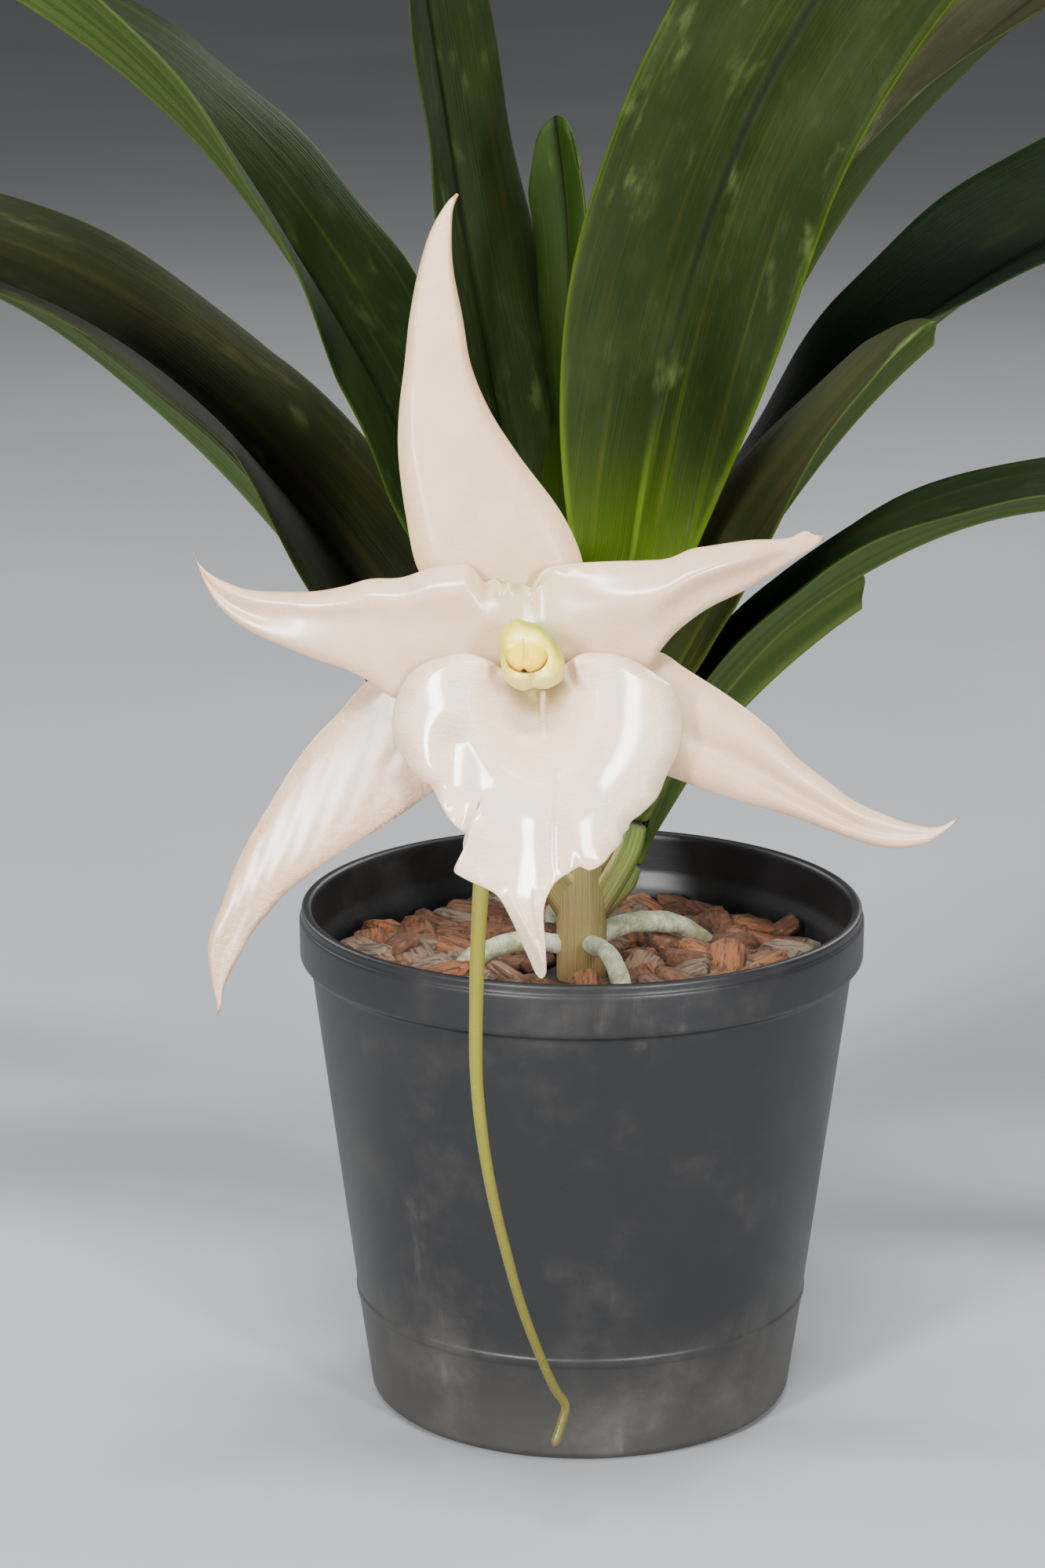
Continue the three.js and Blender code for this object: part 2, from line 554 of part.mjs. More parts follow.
function column() {
  const rows = [[COLUMN_FOOT.back, 0, 1, 3.5, 3.5], [-2.2, 0, 1, 3.5, 3.5], [0.4, 0.3, 0.8, 4.9, 4.7],
    [3, 0.6, 0.5, 5.9, 5.9], [6.5, 0.7, 0.3, 6.1, 6.1], [9, 0.6, 0.3, 5.7, 5.8], [10.4, 0.5, 0.4, 4.8, 5]];
  const body = rows.map(([out, x, up, wide, tall]) => {
    const ring = [];
    for (let i = 0; i < COLUMN_SIDES; i += 1) {
      const angle = 2 * PI * i / COLUMN_SIDES;
      ring.push(face(x + wide * cos(angle), up + tall * sin(angle), out));
    }
    return ring;
  });
  const seat = ANTHER.radii.map((r) => r + GAP);
  return solid(rings(body)).add(solid(oval(-2.4, -5.4, 7.6, [2.8, 2.4, 2.1], 8, 6)))
    .add(solid(oval(4.4, -5.2, 7.4, [3.1, 2.4, 2.2], 8, 6)))
    .subtract(solid(oval(ANTHER.x, ANTHER.up, ANTHER.out, seat, 14, 10)));
}

// Each piece in its place
add('pot', surface(pot()), potPlastic);
add('bark', surface(bark()), barkBrown);
add('stem', surface(stem()), stemGreen);
for (const [name, root] of Object.entries(ROOTS)) {
  add(name, surface(rootTube(root, 0).subtract(stemCore(GAP))), rootSilver);
}
for (const [name, leaf] of Object.entries(LEAVES)) add(name, blade(leaf, LEAF_ROWS), leafGreen);
add('flower_stalk', surface(stalk()), stalkGreen);
for (const [name, piece] of Object.entries(PERIANTH)) add(name, perianth(piece), petalWhite);
add('lip', lip(), lipWhite);
add('spur', tube(route(SPUR_LINE), spurRadius, 36, 8), spurGreen);
add('column', surface(column()), columnCream);
add('anther_cap', oval(ANTHER.x, ANTHER.up, ANTHER.out, ANTHER.radii, 14, 10), antherYellow);

export default orchid;
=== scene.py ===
import math

import bmesh
import bpy
import numpy as np
from mathutils import Matrix


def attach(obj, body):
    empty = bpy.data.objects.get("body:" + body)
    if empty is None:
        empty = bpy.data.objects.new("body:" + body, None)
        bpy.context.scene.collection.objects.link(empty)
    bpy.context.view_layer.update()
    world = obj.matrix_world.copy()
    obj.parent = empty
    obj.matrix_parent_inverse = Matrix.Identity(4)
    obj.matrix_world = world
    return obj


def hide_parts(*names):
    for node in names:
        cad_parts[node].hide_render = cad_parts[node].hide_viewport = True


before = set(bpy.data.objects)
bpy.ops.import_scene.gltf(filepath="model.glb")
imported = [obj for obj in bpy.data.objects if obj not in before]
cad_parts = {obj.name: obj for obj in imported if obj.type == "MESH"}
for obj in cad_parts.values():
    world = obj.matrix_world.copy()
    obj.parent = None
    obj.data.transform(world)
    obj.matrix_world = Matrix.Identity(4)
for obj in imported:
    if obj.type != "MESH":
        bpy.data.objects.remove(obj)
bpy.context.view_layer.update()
scene = bpy.context.scene

# Viewpoint. The photograph looks down on the open flower by 15 degrees from about 0.9 m, and shows it
# at 0.155 mm to the pixel in a frame of 1332 by 1998 pixels. The open face stands square to that view.
MM = 0.001
FLOWER_CENTRE = np.array([-13.0, -130.0, 208.0])
FACE_TILT = math.radians(15)
VIEW_DISTANCE = 900.0
MM_PER_PIXEL = 0.155
FRAME_HEIGHT = 1998
SENSOR = 36.0
AIM = (-0.62, -26.2)


def put(name, data):
    """A new object in the scene, at its origin."""
    thing = bpy.data.objects.new(name, data)
    scene.collection.objects.link(thing)
    return thing


view_way = np.array([0, math.cos(FACE_TILT), -math.sin(FACE_TILT)])
view_up = np.array([0, math.sin(FACE_TILT), math.cos(FACE_TILT)])
view_aim = FLOWER_CENTRE + AIM[0] * np.array([1, 0, 0]) + AIM[1] * view_up
lens = bpy.data.cameras.new("photo_view")
lens.sensor_width = SENSOR
lens.lens = SENSOR * VIEW_DISTANCE / MM_PER_PIXEL / FRAME_HEIGHT
lens.clip_end = 20
camera = put("photo_view", lens)
camera.location = (view_aim - view_way * VIEW_DISTANCE) * MM
camera.rotation_euler = (math.pi / 2 - FACE_TILT, 0, 0)
scene.camera = camera

# Studio light. Two narrow soft boxes stand left and right of the camera, as the two gleams on the lip
# show, a small one above gives the petals' upper edges theirs, and wide ones and the room fill in.
for name, spot, aim, size, watts in (
    ("softbox_left", (-0.62, -0.98, 0.52), (-0.01, -0.1, 0.21), (0.16, 0.40), 22.0),
    ("softbox_right", (0.60, -1.00, 0.47), (-0.01, -0.1, 0.21), (0.15, 0.38), 15.0),
    ("softbox_top", (-0.05, -0.66, 1.2), (-0.01, -0.1, 0.21), (0.45, 0.11), 22.0),
    ("softbox_above", (0.0, 0.1, 1.5), (0.0, 0.0, 0.2), (1.2, 0.9), 9.0),
    ("softbox_back_right", (0.8, 1.0, 0.9), (0.0, 0.0, 0.25), (0.7, 0.6), 12.0),
    ("softbox_back_left", (-1.0, 0.8, 0.8), (0.0, 0.0, 0.25), (0.7, 0.6), 9.0),
):
    glow = bpy.data.lights.new(name, "AREA")
    glow.shape = "RECTANGLE"
    glow.size, glow.size_y = size
    glow.energy = watts
    box = put(name, glow)
    box.location = spot
    toward = np.subtract(aim, spot)
    level = math.hypot(toward[0], toward[1])
    box.rotation_euler = (math.atan2(level, -toward[2]), 0, math.atan2(-toward[0], toward[1]))

room = bpy.data.worlds.new("room")
room.use_nodes = True
room.node_tree.nodes["Background"].inputs["Color"].default_value = (0.93, 0.92, 0.92, 1)
room.node_tree.nodes["Background"].inputs["Strength"].default_value = 0.18
scene.world = room


# Floor. A plain pale grey studio floor, painted matt, that runs on behind the plant.
class Flow:
    """A number or colour on its way through a finish. Arithmetic on it adds Math nodes."""

    def __init__(self, finish, socket):
        self.finish = finish
        self.socket = socket

    def sum(self, operation, *terms):
        return self.finish.node("ShaderNodeMath", {"operation": operation}, dict(enumerate(terms)))

    def __add__(self, other):
        return self.sum("ADD", self, other)

    def __radd__(self, other):
        return self.sum("ADD", other, self)

    def __sub__(self, other):
        return self.sum("SUBTRACT", self, other)

    def __rsub__(self, other):
        return self.sum("SUBTRACT", other, self)

    def __mul__(self, other):
        return self.sum("MULTIPLY", self, other)

    def __rmul__(self, other):
        return self.sum("MULTIPLY", other, self)

    def __abs__(self):
        return self.sum("ABSOLUTE", self)

    def rise(self, low, high):
        """0 below low and 1 above high, with a soft step between; falls where low is above high."""
        if low > high:
            return 1 - self.rise(high, low)
        ends = {"Value": self, "From Min": low, "From Max": high}
        return self.finish.node("ShaderNodeMapRange", {"interpolation_type": "SMOOTHSTEP"}, ends)


class Finish:
    """A material as it is built up. node() makes every node in it."""

    def __init__(self, name):
        self.material = bpy.data.materials.new(name)
        self.material.use_nodes = True
        self.tree = self.material.node_tree
        self.tree.nodes.clear()

    def node(self, kind, settings=None, values=None, out=0):
        """A node of a type, its settings made first, then the values or links of its sockets."""
        made = self.tree.nodes.new(kind)
        for name, value in (settings or {}).items():
            setattr(made, name, value)
        for key, value in (values or {}).items():
            if isinstance(value, Flow):
                self.tree.links.new(value.socket, made.inputs[key])
            else:
                made.inputs[key].default_value = value
        return Flow(self, made.outputs[out] if made.outputs else None)

    def place(self):
        """Where a point lies on the object, in metres."""
        return self.node("ShaderNodeTexCoord", out="Object")

    def parts(self, vector):
        """The three numbers of a vector."""
        return [self.node("ShaderNodeSeparateXYZ", None, {0: vector}, out=axis) for axis in range(3)]

    def mark(self, name):
        """The vector that a mesh carries under a name."""
        return self.node("ShaderNodeAttribute", {"attribute_name": name}, out="Vector")

    def noise(self, vector, scale, detail, roughness=0.55, distortion=0.0):
        """Cloudy noise around one half. Three scales in place of one draw it out along the axes."""
        if isinstance(scale, tuple):
            vector = self.node("ShaderNodeVectorMath", {"operation": "MULTIPLY"}, {0: vector, 1: scale})
            scale = 1.0
        values = {"Vector": vector, "Scale": scale, "Detail": detail, "Roughness": roughness,
                  "Distortion": distortion}
        return self.node("ShaderNodeTexNoise", None, values)

    def cells(self, vector, scale):
        """The distance to the nearest of many scattered points."""
        return self.node("ShaderNodeTexVoronoi", None, {"Vector": vector, "Scale": scale}, "Distance")

    def mix(self, share, first, second):
        """The first colour, and the second where the share is 1."""
        return self.node("ShaderNodeMix", {"data_type": "RGBA"}, {0: share, 6: first, 7: second}, out=2)

    def coats(self, ground, *coats):
        """A ground tone with coats of paint over it, each given by its share and its tone."""
        colour = paint(*ground)
        for share, tone in coats:
            colour = self.mix(share, colour, paint(*tone))
        return colour

    def bump(self, height, depth, under=None):
        """A normal that makes the height show as relief of the given depth in metres."""
        values = {"Height": height, "Strength": 1.0, "Distance": depth}
        if under:
            values["Normal"] = under
        return self.node("ShaderNodeBump", None, values)

    def done(self, colour, rough, relief=None, others=None):
        """The material: its colour, its roughness, its relief and whatever else its shader is told."""
        values = {"Base Color": colour, "Roughness": rough, **(others or {})}
        if relief:
            values["Normal"] = relief
        shader = self.node("ShaderNodeBsdfPrincipled", None, values)
        self.node("ShaderNodeOutputMaterial", None, {"Surface": shader})
        return self.material


def paint(red, green, blue):
    """A colour as the eye counts it, 0 to 255, in the renderer's linear values."""
    shares = np.array([red, green, blue]) / 255
    linear = np.where(shares > 0.04045, ((shares + 0.055) / 1.055) ** 2.4, shares / 12.92)
    return (*linear.tolist(), 1.0)


FLOOR_REACH = 6.0
corners = [(x * FLOOR_REACH, y * FLOOR_REACH, 0) for x, y in ((-1, -1), (1, -1), (1, 1), (-1, 1))]
floor_mesh = bpy.data.meshes.new("floor")
floor_mesh.from_pydata(corners, [], [(0, 1, 2, 3)])
floor = put("floor", floor_mesh)
look = Finish("studio_floor")
cloud = look.noise(look.place(), 3.0, 4.0)
floor_grey = look.coats((148, 150, 153), (cloud.rise(0.3, 0.7), (154, 156, 158)))
floor_mesh.materials.append(look.done(floor_grey, 0.85))


# Pot. A black injection-moulded nursery pot: a tapered wall with a collar round its mouth, and a flat
# foot with six drain holes. Dust lies on it, and hard water has dried on its wall.
POT_HEIGHT = 118.0
POT_RIM_RADIUS = 65.0
POT_BASE_RADIUS = 49.0
POT_WALL = 1.8
POT_RIM_DEPTH = 13.0
POT_RIM_STEP = 2.4
POT_BAND = (24.0, 26.0)
BAND_PROUD = 0.35
POT_SIDES = 160
CORNER_STEPS = 4
MERGE_REACH = 2e-6
DRAIN_HOLES = 6
DRAIN_RADIUS = 4.5
DRAIN_CIRCLE = 30.0
DRAIN_SIDES = 32
wall_top = POT_HEIGHT - POT_RIM_DEPTH


def wall_radius(z):
    """The pot's outer radius at a height under the collar: a straight taper."""
    return POT_BASE_RADIUS + (POT_RIM_RADIUS - POT_RIM_STEP - POT_BASE_RADIUS) * z / wall_top


def step(value, low, high):
    """0 below low, 1 above high, and 3t^2 - 2t^3 between."""
    t = np.clip((value - low) / (high - low), 0, 1)
    return t * t * (3 - 2 * t)


def make(name, grids, material, nodes, marks=None, caps=True):
    """One piece made of closed skins, placed on the body in place of its CAD nodes.

    Each grid is rows of points that run round the skin, in millimetres. Neighbours are joined by
    four-sided faces and, with caps, each end row by a fan round its middle. marks gives three numbers
    for every point of every grid, by name. Points that coincide are merged.
    """
    points = []
    faces = []
    carried = {key: [] for key in marks or {}}
    start = 0
    for number, grid in enumerate(grids):
        rows, cols = grid.shape[:2]
        row, col = np.meshgrid(np.arange(rows - 1), np.arange(cols), indexing="ij")
        after = (col + 1) % cols
        quads = np.stack([row * cols + col, row * cols + after, (row + 1) * cols + after,
                          (row + 1) * cols + col], -1)
        faces += (quads.reshape(-1, 4) + start).tolist()
        points.append(grid.reshape(-1, 3))
        for key, values in (marks or {}).items():
            carried[key].append(values[number].reshape(-1, 3))
        if caps:
            for hub, end in enumerate((0, rows - 1)):
                edge = end * cols + np.arange(cols)
                fan = np.stack([np.full(cols, rows * cols + hub), np.roll(edge, -1), edge], -1)
                faces += (fan + start).tolist()
            points.append(grid[[0, -1]].mean(axis=1))
            for key, values in (marks or {}).items():
                carried[key].append(values[number][[0, -1]].mean(axis=1))
        start += rows * cols + (2 if caps else 0)
    mesh = bpy.data.meshes.new(name)
    mesh.from_pydata((np.vstack(points) * MM).tolist(), [], faces)
    for key, values in carried.items():
        layer = mesh.attributes.new(key, "FLOAT_VECTOR", "POINT")
        layer.data.foreach_set("vector", np.vstack(values).astype(np.float32).ravel())
    work = bmesh.new()
    work.from_mesh(mesh)
    bmesh.ops.remove_doubles(work, verts=work.verts, dist=MERGE_REACH)
    bmesh.ops.recalc_face_normals(work, faces=work.faces)
    work.to_mesh(mesh)
    work.free()
    mesh.polygons.foreach_set("use_smooth", np.ones(len(mesh.polygons), bool))
    mesh.materials.append(material)
    piece = put(name, mesh)
    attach(piece, "root")
    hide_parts(*nodes)
    return piece


def lathe(profile, sides):
    """A profile of radius and height carried round the upright axis."""
    angle = np.linspace(0, 2 * np.pi, sides, endpoint=False)
    radius, z = np.asarray(profile, float).T
    return np.stack([np.outer(radius, np.cos(angle)), np.outer(radius, np.sin(angle)),
                     np.repeat(z[:, None], sides, 1)], -1)


def eased(profile, reach):
    """A profile with each inner corner P rounded off: (1-t)^2 A + 2t(1-t) P + t^2 B, where A and B lie
    a reach away from P on its two legs, or half a leg where that is shorter."""
    p = np.asarray(profile, float)
    legs = np.diff(p, axis=0)
    length = np.linalg.norm(legs, axis=1)
    cut = np.minimum(reach, length[:, None] * 0.5)
    before = p[1:-1] - legs[:-1] / length[:-1, None] * cut[:-1]
    after = p[1:-1] + legs[1:] / length[1:, None] * cut[1:]
    t = np.linspace(0, 1, CORNER_STEPS + 1)[None, :, None]
    arcs = (1 - t) ** 2 * before[:, None] + 2 * t * (1 - t) * p[1:-1, None] + t * t * after[:, None]
    return np.vstack([p[:1], arcs.reshape(-1, 2), p[-1:]])


look = Finish("black_nursery_plastic")
spot = look.place()
runs = look.noise(spot, (90, 90, 16.2), 5.0, 0.6)
dust = look.noise(spot, 38.0, 6.0, 0.65)
scuff = look.noise(spot, (126, 126, 420), 3.0, 0.6)
low_dust = (look.parts(spot)[2] * -1).rise(-0.045, 0.0)
limed = runs.rise(0.56, 0.76) * dust.rise(0.44, 0.66)
dusty = (dust.rise(0.42, 0.75) * 0.35 + low_dust * 0.5 + limed * 0.5).rise(0.0, 1.3)
shade = look.coats((21, 21, 23), (dusty, (92, 88, 82)))
pebbled = look.bump(look.noise(spot, 2600.0, 2.0), 0.00003)
black_plastic = look.done(shade, 0.42 + dusty * 0.4, look.bump(scuff, 0.00004, pebbled))

bore = POT_RIM_RADIUS - POT_WALL
band_low, band_high = POT_BAND
pot_profile = [
    (0, 0), (POT_BASE_RADIUS - 2.0, 0), (POT_BASE_RADIUS, 1.8), (wall_radius(band_low), band_low),
    (wall_radius(band_low) + BAND_PROUD, band_low + 0.4), (wall_radius(band_high) + BAND_PROUD, band_high),
    (wall_radius(band_high), band_high + 0.4), (wall_radius(wall_top) - 0.1, wall_top - 0.2),
    (POT_RIM_RADIUS - 0.1, wall_top + 1.2), (POT_RIM_RADIUS, POT_HEIGHT - 2.6),
    (POT_RIM_RADIUS - 0.5, POT_HEIGHT - 2.2), (POT_RIM_RADIUS - 0.5, POT_HEIGHT), (bore - 0.6, POT_HEIGHT),
    (bore - 1.2, POT_HEIGHT - 1.2), (bore - 1.2, wall_top + 3),
    (wall_radius(wall_top) - POT_WALL, wall_top - 0.5), (wall_radius(POT_WALL) - POT_WALL, POT_WALL),
    (0, POT_WALL)]
pot_grid = lathe(eased(pot_profile, 0.9), POT_SIDES)
pot = make("pot_body", [pot_grid], black_plastic, ["pot"], caps=False)
around = np.linspace(0, 2 * np.pi, DRAIN_HOLES, endpoint=False)
drill_mesh = bpy.data.meshes.new("drill")
drill_work = bmesh.new()
for angle in around:
    middle = (DRAIN_CIRCLE * MM * math.cos(angle), DRAIN_CIRCLE * MM * math.sin(angle), 0)
    bmesh.ops.create_cone(drill_work, cap_ends=True, segments=DRAIN_SIDES, radius1=DRAIN_RADIUS * MM,
                          radius2=DRAIN_RADIUS * MM, depth=4 * POT_WALL * MM,
                          matrix=Matrix.Translation(middle))
drill_work.to_mesh(drill_mesh)
drill_work.free()
drill = put("drill", drill_mesh)
drilled = pot.modifiers.new("drain_holes", "BOOLEAN")
drilled.operation = "DIFFERENCE"
drilled.object = drill
bpy.context.view_layer.update()
with_holes = bpy.data.meshes.new_from_object(pot.evaluated_get(bpy.context.evaluated_depsgraph_get()))
pot.modifiers.clear()
pot.data = with_holes
bpy.data.objects.remove(drill)


# Bark. Chips of fir bark fill the pot to below its rim: a packed bed, painted near black as painted shade
# in the gaps between the chips, with loose chips on it, from foxy brown to weathered grey, flat across
# and torn at the ends.
BARK_TOP = 101.0
BED_SIDES = 64
CHIP_COUNT = 230
CHIP_SIDES = 10
CHIP_ROWS = 6
CHIP_REACH = 55.0
STEM_CLEAR = 12.0
CHIP_LIMIT = 58.6
GOLDEN_TURN = math.radians(137.5)

look = Finish("fir_bark")
tone, age, bed_shade = look.parts(look.mark("chip"))
fibre = look.noise(look.mark("fibre"), (0.12, 1.1, 1.1), 4.0, 0.65)
pith = look.noise(look.place(), 500.0, 4.0, 0.6)
bark_colour = look.coats(
    (82, 48, 28),
    (tone.rise(0.1, 0.9), (128, 78, 45)),
    (age.rise(0.55, 0.95), (112, 98, 82)),
    (fibre.rise(0.42, 0.68), (48, 30, 20)),
    (pith.rise(0.5, 0.8) * 0.5, (140, 112, 82)),
    # Painted shade: the bed under the loose chips is near black, standing for the shade in the gaps between
    # them.
    (bed_shade, (24, 16, 11)))
fir_bark = look.done(bark_colour, 0.88, look.bump(fibre * 0.7 + pith * 0.5, 0.0006))

draw = np.random.default_rng(11)
bed_profile = [(0, POT_WALL + 0.35), (wall_radius(2) - POT_WALL - 0.7, POT_WALL + 0.35),
               (wall_radius(BARK_TOP - 5) - POT_WALL - 0.4, BARK_TOP - 5), (CHIP_REACH, BARK_TOP - 2),
               (0, BARK_TOP - 1)]
bed_grid = lathe(eased(bed_profile, 3.0), BED_SIDES)
# The bed's chip mark is 0, 0, 1: its last number paints it with the shade colour.
flat = np.zeros_like(bed_grid)
flat[..., 2] = 1
bark_grids = [bed_grid]
chip_marks = [flat]
fibre_marks = [bed_grid]
turn = np.linspace(0, 2 * np.pi, CHIP_SIDES, endpoint=False)
rise = np.linspace(-np.pi / 2, np.pi / 2, CHIP_ROWS)
round_x = np.sign(np.cos(turn)) * np.abs(np.cos(turn)) ** 0.55
round_y = np.sign(np.sin(turn)) * np.abs(np.sin(turn)) ** 0.55
belt = np.cos(rise) ** 0.45
block = np.stack([np.outer(belt, round_x), np.outer(belt, round_y),
                  np.repeat((np.sign(rise) * np.abs(np.sin(rise)) ** 0.5)[:, None], CHIP_SIDES, 1)], -1)
for number in range(CHIP_COUNT):
    share = (number + 0.5) / CHIP_COUNT
    reach = STEM_CLEAR + (CHIP_REACH - STEM_CLEAR) * math.sqrt(share)
    angle = number * GOLDEN_TURN
    size = np.array([draw.uniform(4.5, 9.5), draw.uniform(3.0, 6.0), draw.uniform(1.4, 3.0)])
    ragged = 1 + draw.uniform(-0.16, 0.16, block.shape)
    tilt_x, tilt_y = draw.uniform(-0.45, 0.45, 2)
    heading = draw.uniform(0, 2 * math.pi)
    sx, cx, sy, cy = math.sin(tilt_x), math.cos(tilt_x), math.sin(tilt_y), math.cos(tilt_y)
    sz, cz = math.sin(heading), math.cos(heading)
    turned = (np.array([[cz, -sz, 0], [sz, cz, 0], [0, 0, 1]])
              @ np.array([[cy, 0, sy], [0, 1, 0], [-sy, 0, cy]])
              @ np.array([[1, 0, 0], [0, cx, -sx], [0, sx, cx]]))
    local = block * size * ragged
    local[[0, -1]] = local[[0, -1]].mean(axis=1, keepdims=True)
    lift = BARK_TOP - 1.2 + draw.uniform(0, 2.6)
    middle = np.array([reach * math.cos(angle), reach * math.sin(angle), lift])
    chip = local @ turned.T + middle
    spread = np.hypot(chip[..., 0], chip[..., 1])
    chip[..., :2] *= np.minimum(1, CHIP_LIMIT / spread)[..., None]
    bark_grids.append(chip)
    tint = np.zeros_like(local)
    tint[..., 0] = draw.random()
    tint[..., 1] = draw.random()
    chip_marks.append(tint)
    fibre_marks.append(local + number * 7.3)
bark_marks = {"chip": chip_marks, "fibre": fibre_marks}
make("bark_chips", bark_grids, fir_bark, ["bark"], bark_marks, caps=False)


# Roots. Four thick aerial roots from the foot of the stem, each diving into the bark: a spongy silver
# coat over green, lumpy and a little flattened, stained brown where it touches the bark.
ROOTS = {
    "root_left": (2.4, [(-4, -1, 108), (-14, -3, 109.5), (-25, -4, 105.5), (-30, -4, 98), (-31, -4, 88)]),
    "root_back": (2.6, [(-1, 4, 108), (-3, 14, 111), (-5, 27, 108), (-6, 35, 99), (-6, 37, 87)]),
    "root_right": (2.3, [(3, 3, 109), (12, 10, 110), (24, 17, 107), (32, 22, 98), (34, 23, 88)]),
    "root_front": (2.2, [(2, -4, 109), (6, -15, 110), (9, -25, 105), (10, -31, 96), (10, -32, 86)]),
}
ROOT_STEPS = 90
ROOT_SIDES = 28


def smooth_line(points, shares, loop=False):
    """The centripetal Catmull-Rom curve through the points, at shares of its count of segments: the
    cubic from one point to the next whose end slopes follow the neighbours at the root of their gaps."""
    p = np.asarray(points, float)
    count = len(p) if loop else len(p) - 1
    before = p[-1:] if loop else 2 * p[:1] - p[1:2]
    after = p[:2] if loop else 2 * p[-1:] - p[-2:-1]
    held = np.vstack([before, p, after])
    at = np.asarray(shares, float) * count
    k = np.clip(at.astype(int), 0, count - 1)
    t = (at - k)[:, None]
    a, b, c, d = held[k], held[k + 1], held[k + 2], held[k + 3]
    gaps = ((a, b), (b, c), (c, d))
    ab, bc, cd = [np.sqrt(np.linalg.norm(q - o, axis=1) + 1e-9)[:, None] for o, q in gaps]
    leave = ((b - a) / ab - (c - a) / (ab + bc) + (c - b) / bc) * bc
    reach = ((c - b) / bc - (d - b) / (bc + cd) + (d - c) / cd) * bc
    return ((2 * t**3 - 3 * t**2 + 1) * b + (t**3 - 2 * t**2 + t) * leave
            + (3 * t**2 - 2 * t**3) * c + (t**3 - t**2) * reach)


def even_shares(points, count, loop=False):
    """Shares at which the curve through the points is met at even steps of its length."""
    fine = np.linspace(0, 1, 40 * len(points))
    spots = smooth_line(points, fine, loop)
    run = np.concatenate([[0], np.cumsum(np.linalg.norm(np.diff(spots, axis=0), axis=1))])
    return np.interp(np.linspace(0, run[-1], count, endpoint=not loop), run, fine)


def tube(line, radius, steps, sides, level):
    """A ring of the radius round each point of a line: centre + r (n cos a + b sin a), where n is the
    level direction made square to the line and b is square to both. Gives the rings, and for every
    point its share of the length, its angle and nothing."""
    centre = smooth_line(line, even_shares(line, steps))
    along = np.gradient(centre, axis=0)
    along /= np.linalg.norm(along, axis=1, keepdims=True)
    level = np.asarray(level, float)
    normal = level - (along @ level)[:, None] * along
    normal /= np.linalg.norm(normal, axis=1, keepdims=True)
    other = np.cross(along, normal)
    share, angle = np.meshgrid(np.linspace(0, 1, steps), np.linspace(0, 2 * np.pi, sides, endpoint=False),
                               indexing="ij")
    r = radius(share, angle)[..., None]
    rings = centre[:, None] + r * (np.cos(angle)[..., None] * normal[:, None]
                                   + np.sin(angle)[..., None] * other[:, None])
    return rings, np.stack([share, angle, 0 * share], -1)


look = Finish("silver_root")
spot = look.place()
mottle = look.noise(spot, 260.0, 5.0, 0.6)
fleck = look.noise(spot, (1500, 1500, 750), 3.0, 0.6)
near_bark = (look.parts(spot)[2] * -1).rise(-0.112, -0.100)
root_colour = look.coats(
    (168, 168, 148),
    (mottle.rise(0.35, 0.62), (120, 130, 92)),
    (fleck.rise(0.5, 0.72) * 0.7, (98, 104, 66)),
    (near_bark * mottle.rise(0.25, 0.6) * 0.8, (104, 76, 48)))
lumps = look.bump(mottle * 0.9 + fleck * 0.5, 0.0008)
velamen = look.done(root_colour, 0.82, lumps, {"Sheen Weight": 0.15})
for name, (radius, line) in ROOTS.items():
    wander = draw.uniform(0, 6, 3)

    def lumpy(u, a):
        """Root radius: swollen and pinched along its length, a little flat, and round at its end."""
        swell = 1 + 0.05 * np.sin(19 * u + wander[0]) + 0.04 * np.sin(41 * u + 2 * a + wander[1])
        flatten = 1 + 0.07 * np.cos(2 * a + wander[2])
        tip = np.sqrt(np.maximum(0.03, 1 - np.maximum(0, (u - 0.9) / 0.1) ** 2))
        return radius * swell * flatten * tip

    level = (0.3, 0.5, 0.05) if "left" in name else (1, 0.2, 0)
    rings, _ = tube(line, lumpy, ROOT_STEPS, ROOT_SIDES, level)
    make("silver_" + name, [rings], velamen, [name])


